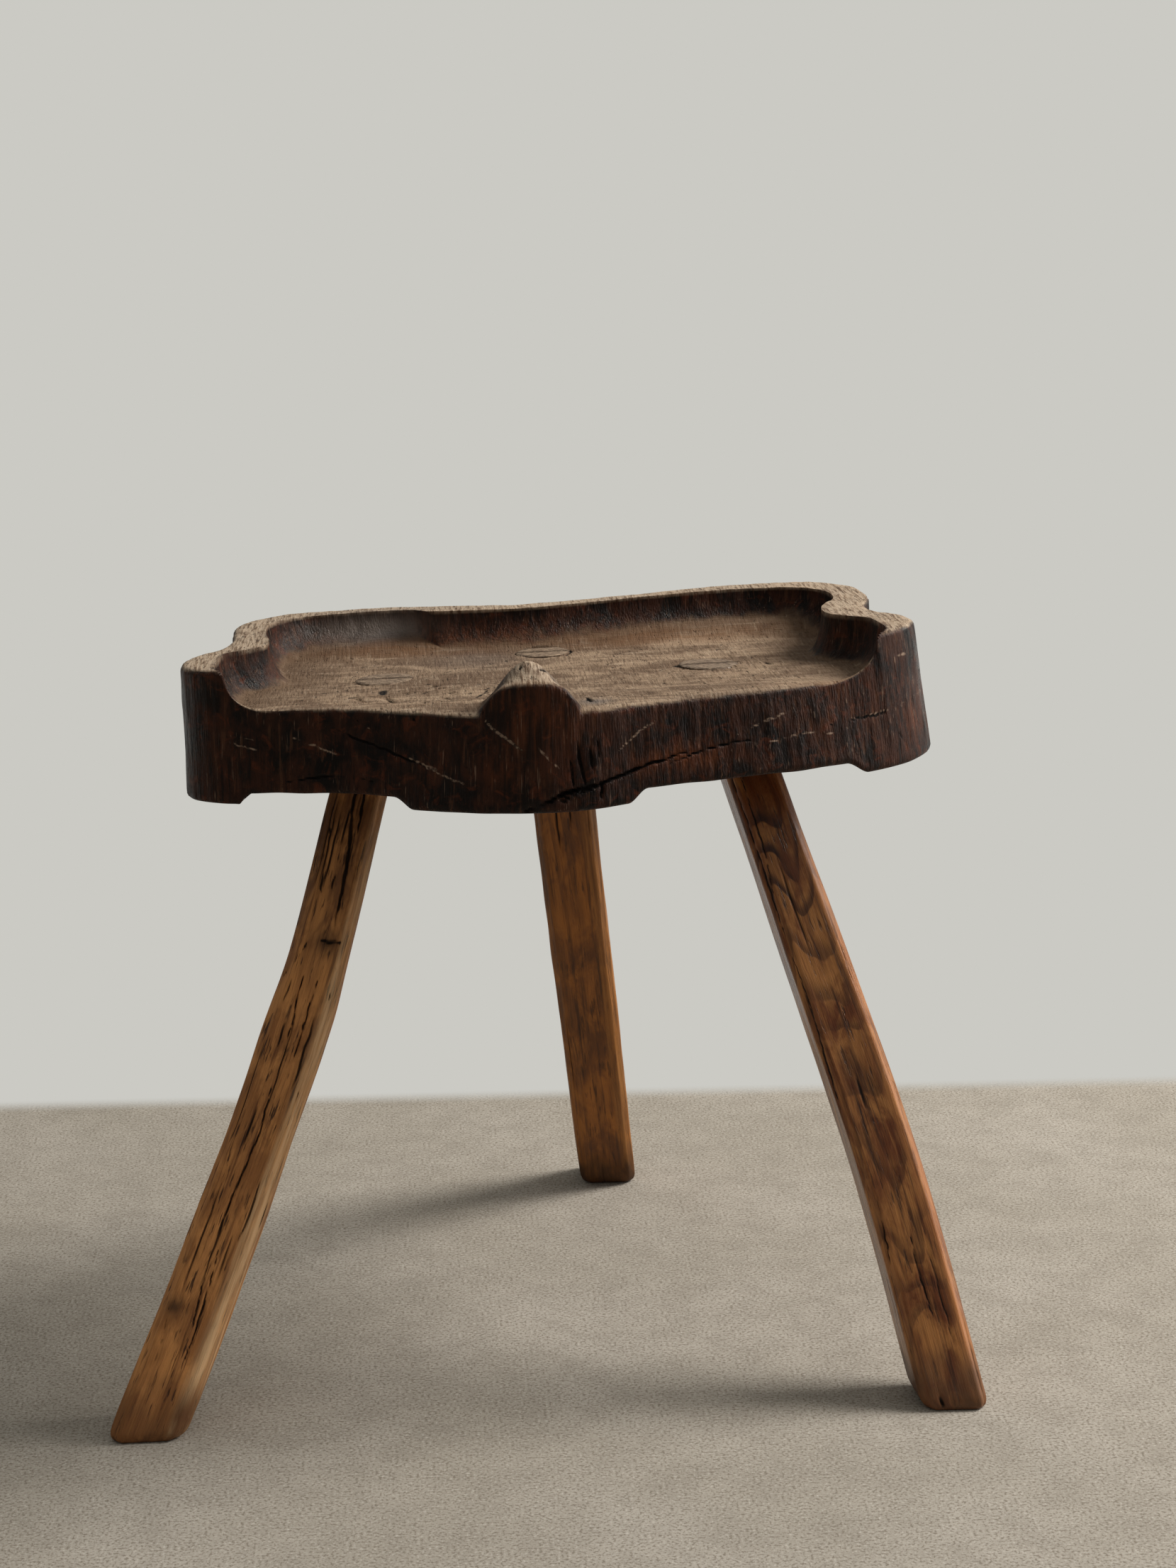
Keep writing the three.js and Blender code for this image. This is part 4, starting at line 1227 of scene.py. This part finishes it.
def wedge_material():
    m = Shade("wedge_wood")
    p = m.place()
    fibre = m.noise(m.cells(p, (5, 0.7, 12)), 4, 0.6)
    spots = m.noise(m.cells(p, (1.3, 1.3, 1.3)), 3, 0.6)
    colour = m.mix(m.band(fibre, 0.35, 0.65), paint(*WEDGE_DARK), paint(*WEDGE_LIGHT))
    colour = m.layers(colour, (m.band(spots, 0.6, 0.75, 0, 0.6), WEDGE_SPOTS))
    m.bump(fibre, 0.5, 0.6)
    m.set(Base_Color=colour, Roughness=m.band(spots, 0.3, 0.7, 0.7, 0.86))
    return m.material


# ---- Stage ----
FLOOR_REACH = 14.0
BACKDROP_START, BACKDROP_BLEND = 0.335, 0.03  # along Y, where the floor turns into the pale backdrop
BACKDROP_COLOUR = (203, 202, 196)
FLOOR_LOW, FLOOR_HIGH = (172, 165, 154), (182, 175, 165)
FLOOR_MOTTLE, FLOOR_SPECK, FLOOR_GLINT = (150, 143, 133), (126, 117, 105), (212, 207, 198)


def floor_material():
    """A speckled floor, which turns into a plain pale backdrop behind the stool."""
    m = Shade("floor_plain")
    p = m.place()
    fine = m.noise(m.cells(p, (1.7, 1.7, 1.7)), 2, 0.7)
    broad = m.noise(m.cells(p, (160, 160, 160)), 2, 0.5)
    mottle = m.noise(m.cells(p, (30, 30, 30)), 5, 0.75)
    near = m.mix(m.band(broad, 0.3, 0.7), paint(*FLOOR_LOW), paint(*FLOOR_HIGH))
    near = m.layers(
        near,
        (m.band(mottle, 0.35, 0.7, 0, 0.5), FLOOR_MOTTLE),
        (m.band(fine, 0.5, 0.64, 0, 0.8), FLOOR_SPECK),
        (m.band(fine, 0.42, 0.3, 0, 0.6), FLOOR_GLINT),
    )
    start, end = BACKDROP_START / MM, (BACKDROP_START + BACKDROP_BLEND) / MM
    far = m.band(m.split(p)[1], start, end)
    m.set(Base_Color=m.mix(far, near, (0, 0, 0, 1)), Roughness=0.9, Specular_IOR_Level=0.0)
    m.set(Emission_Color=paint(*BACKDROP_COLOUR), Emission_Strength=far)
    m.bump(fine, 0.3, 0.4)
    return m.material


def make_stage():
    reach = FLOOR_REACH / MM
    corners = np.array([(-reach, -reach, 0), (reach, -reach, 0), (reach, reach, 0), (-reach, reach, 0)])
    floor = make_object("floor", corners, [(0, 1, 2, 3)], {})
    floor.data.materials.append(floor_material())


LIGHT_TARGET = (0, 0, 0.3)


def soft_light(name, at, width, height, power, colour):
    data = bpy.data.lights.new(name, "AREA")
    data.shape = "RECTANGLE"
    data.size = width
    data.size_y = height
    data.energy = power
    data.color = colour
    light = bpy.data.objects.new(name, data)
    light.location = at
    light.rotation_euler = (Vector(LIGHT_TARGET) - Vector(at)).to_track_quat("-Z", "Y").to_euler()
    bpy.context.scene.collection.objects.link(light)


# How bright the studio is in each direction: at the middle, and its rise to the right, back and top.
STUDIO_LIGHT = 0.31
STUDIO_RISE = (0.1, 0.17, 0.36)


def make_world():
    """A pale backdrop to look at, which lights the stool more from the back, the right and above."""
    world = bpy.data.worlds.new("studio")
    world.use_nodes = True
    nodes, links = world.node_tree.nodes, world.node_tree.links
    background = nodes["Background"]
    background.inputs["Color"].default_value = paint(*BACKDROP_COLOUR)

    lean = nodes.new("ShaderNodeVectorMath")
    lean.operation = "DOT_PRODUCT"
    links.new(nodes.new("ShaderNodeTexCoord").outputs["Generated"], lean.inputs[0])
    lean.inputs[1].default_value = STUDIO_RISE
    lit = nodes.new("ShaderNodeMath")
    lit.operation = "ADD"
    links.new(lean.outputs["Value"], lit.inputs[0])
    lit.inputs[1].default_value = STUDIO_LIGHT
    seen = nodes.new("ShaderNodeMix")
    links.new(nodes.new("ShaderNodeLightPath").outputs["Is Camera Ray"], seen.inputs[0])
    links.new(lit.outputs[0], seen.inputs[2])
    seen.inputs[3].default_value = 1.0
    links.new(seen.outputs[0], background.inputs["Strength"])
    bpy.context.scene.world = world


KEY_POWER, SIDE_POWER = 97, 2.5
WARM_WHITE, COOL_WHITE = (1.0, 0.96, 0.9), (0.97, 0.98, 1.0)


def make_lights():
    make_world()
    soft_light("key", (2.2, 0.45, 2.1), 1.0, 1.5, KEY_POWER, WARM_WHITE)
    soft_light("side", (1.7, 0.05, 0.5), 0.24, 0.9, SIDE_POWER, COOL_WHITE)


CAMERA_AT = (-0.0741, -1.4987, 0.6214)
CAMERA_TILT, CAMERA_TURN = 78.025, -4.0
CAMERA_LENS, CAMERA_SENSOR = 61.84, 36.0


def make_camera():
    data = bpy.data.cameras.new("camera")
    data.lens = CAMERA_LENS
    data.sensor_width = CAMERA_SENSOR
    camera = bpy.data.objects.new("camera", data)
    camera.location = CAMERA_AT
    camera.rotation_euler = (CAMERA_TILT * DEG, 0, CAMERA_TURN * DEG)
    bpy.context.scene.collection.objects.link(camera)
    bpy.context.scene.camera = camera
    bpy.context.scene.view_settings.view_transform = "Standard"


# ---- Assembly ----
def place(obj, material, slot, node):
    obj.data.materials.clear()
    obj.data.materials.append(material)
    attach(obj, "root")
    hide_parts(node)


make_camera()
make_stage()
make_lights()
place(make_seat(), seat_material(), "seat_wood", "seat")
wedge_wood = wedge_material()
for leg_name, leg_shape in LEGS.items():
    whole = make_leg(leg_name)
    wedge = whole.copy()
    wedge.data = whole.data.copy()
    wedge.name = "wedge_" + leg_name + "_blade"
    bpy.context.scene.collection.objects.link(wedge)
    kerf = make_blade(leg_shape, WEDGE_GAP, "kerf")
    blade = make_blade(leg_shape, 0, "blade")
    combine(whole, kerf, "DIFFERENCE")
    combine(wedge, blade, "INTERSECT")
    bpy.data.objects.remove(kerf)
    bpy.data.objects.remove(blade)
    finish_mesh(whole)
    finish_mesh(wedge)
    place(whole, leg_material(leg_name), LEG_WOODS[leg_name]["slot"], "leg_" + leg_name)
    place(wedge, wedge_wood, "wedge_wood", "wedge_" + leg_name)
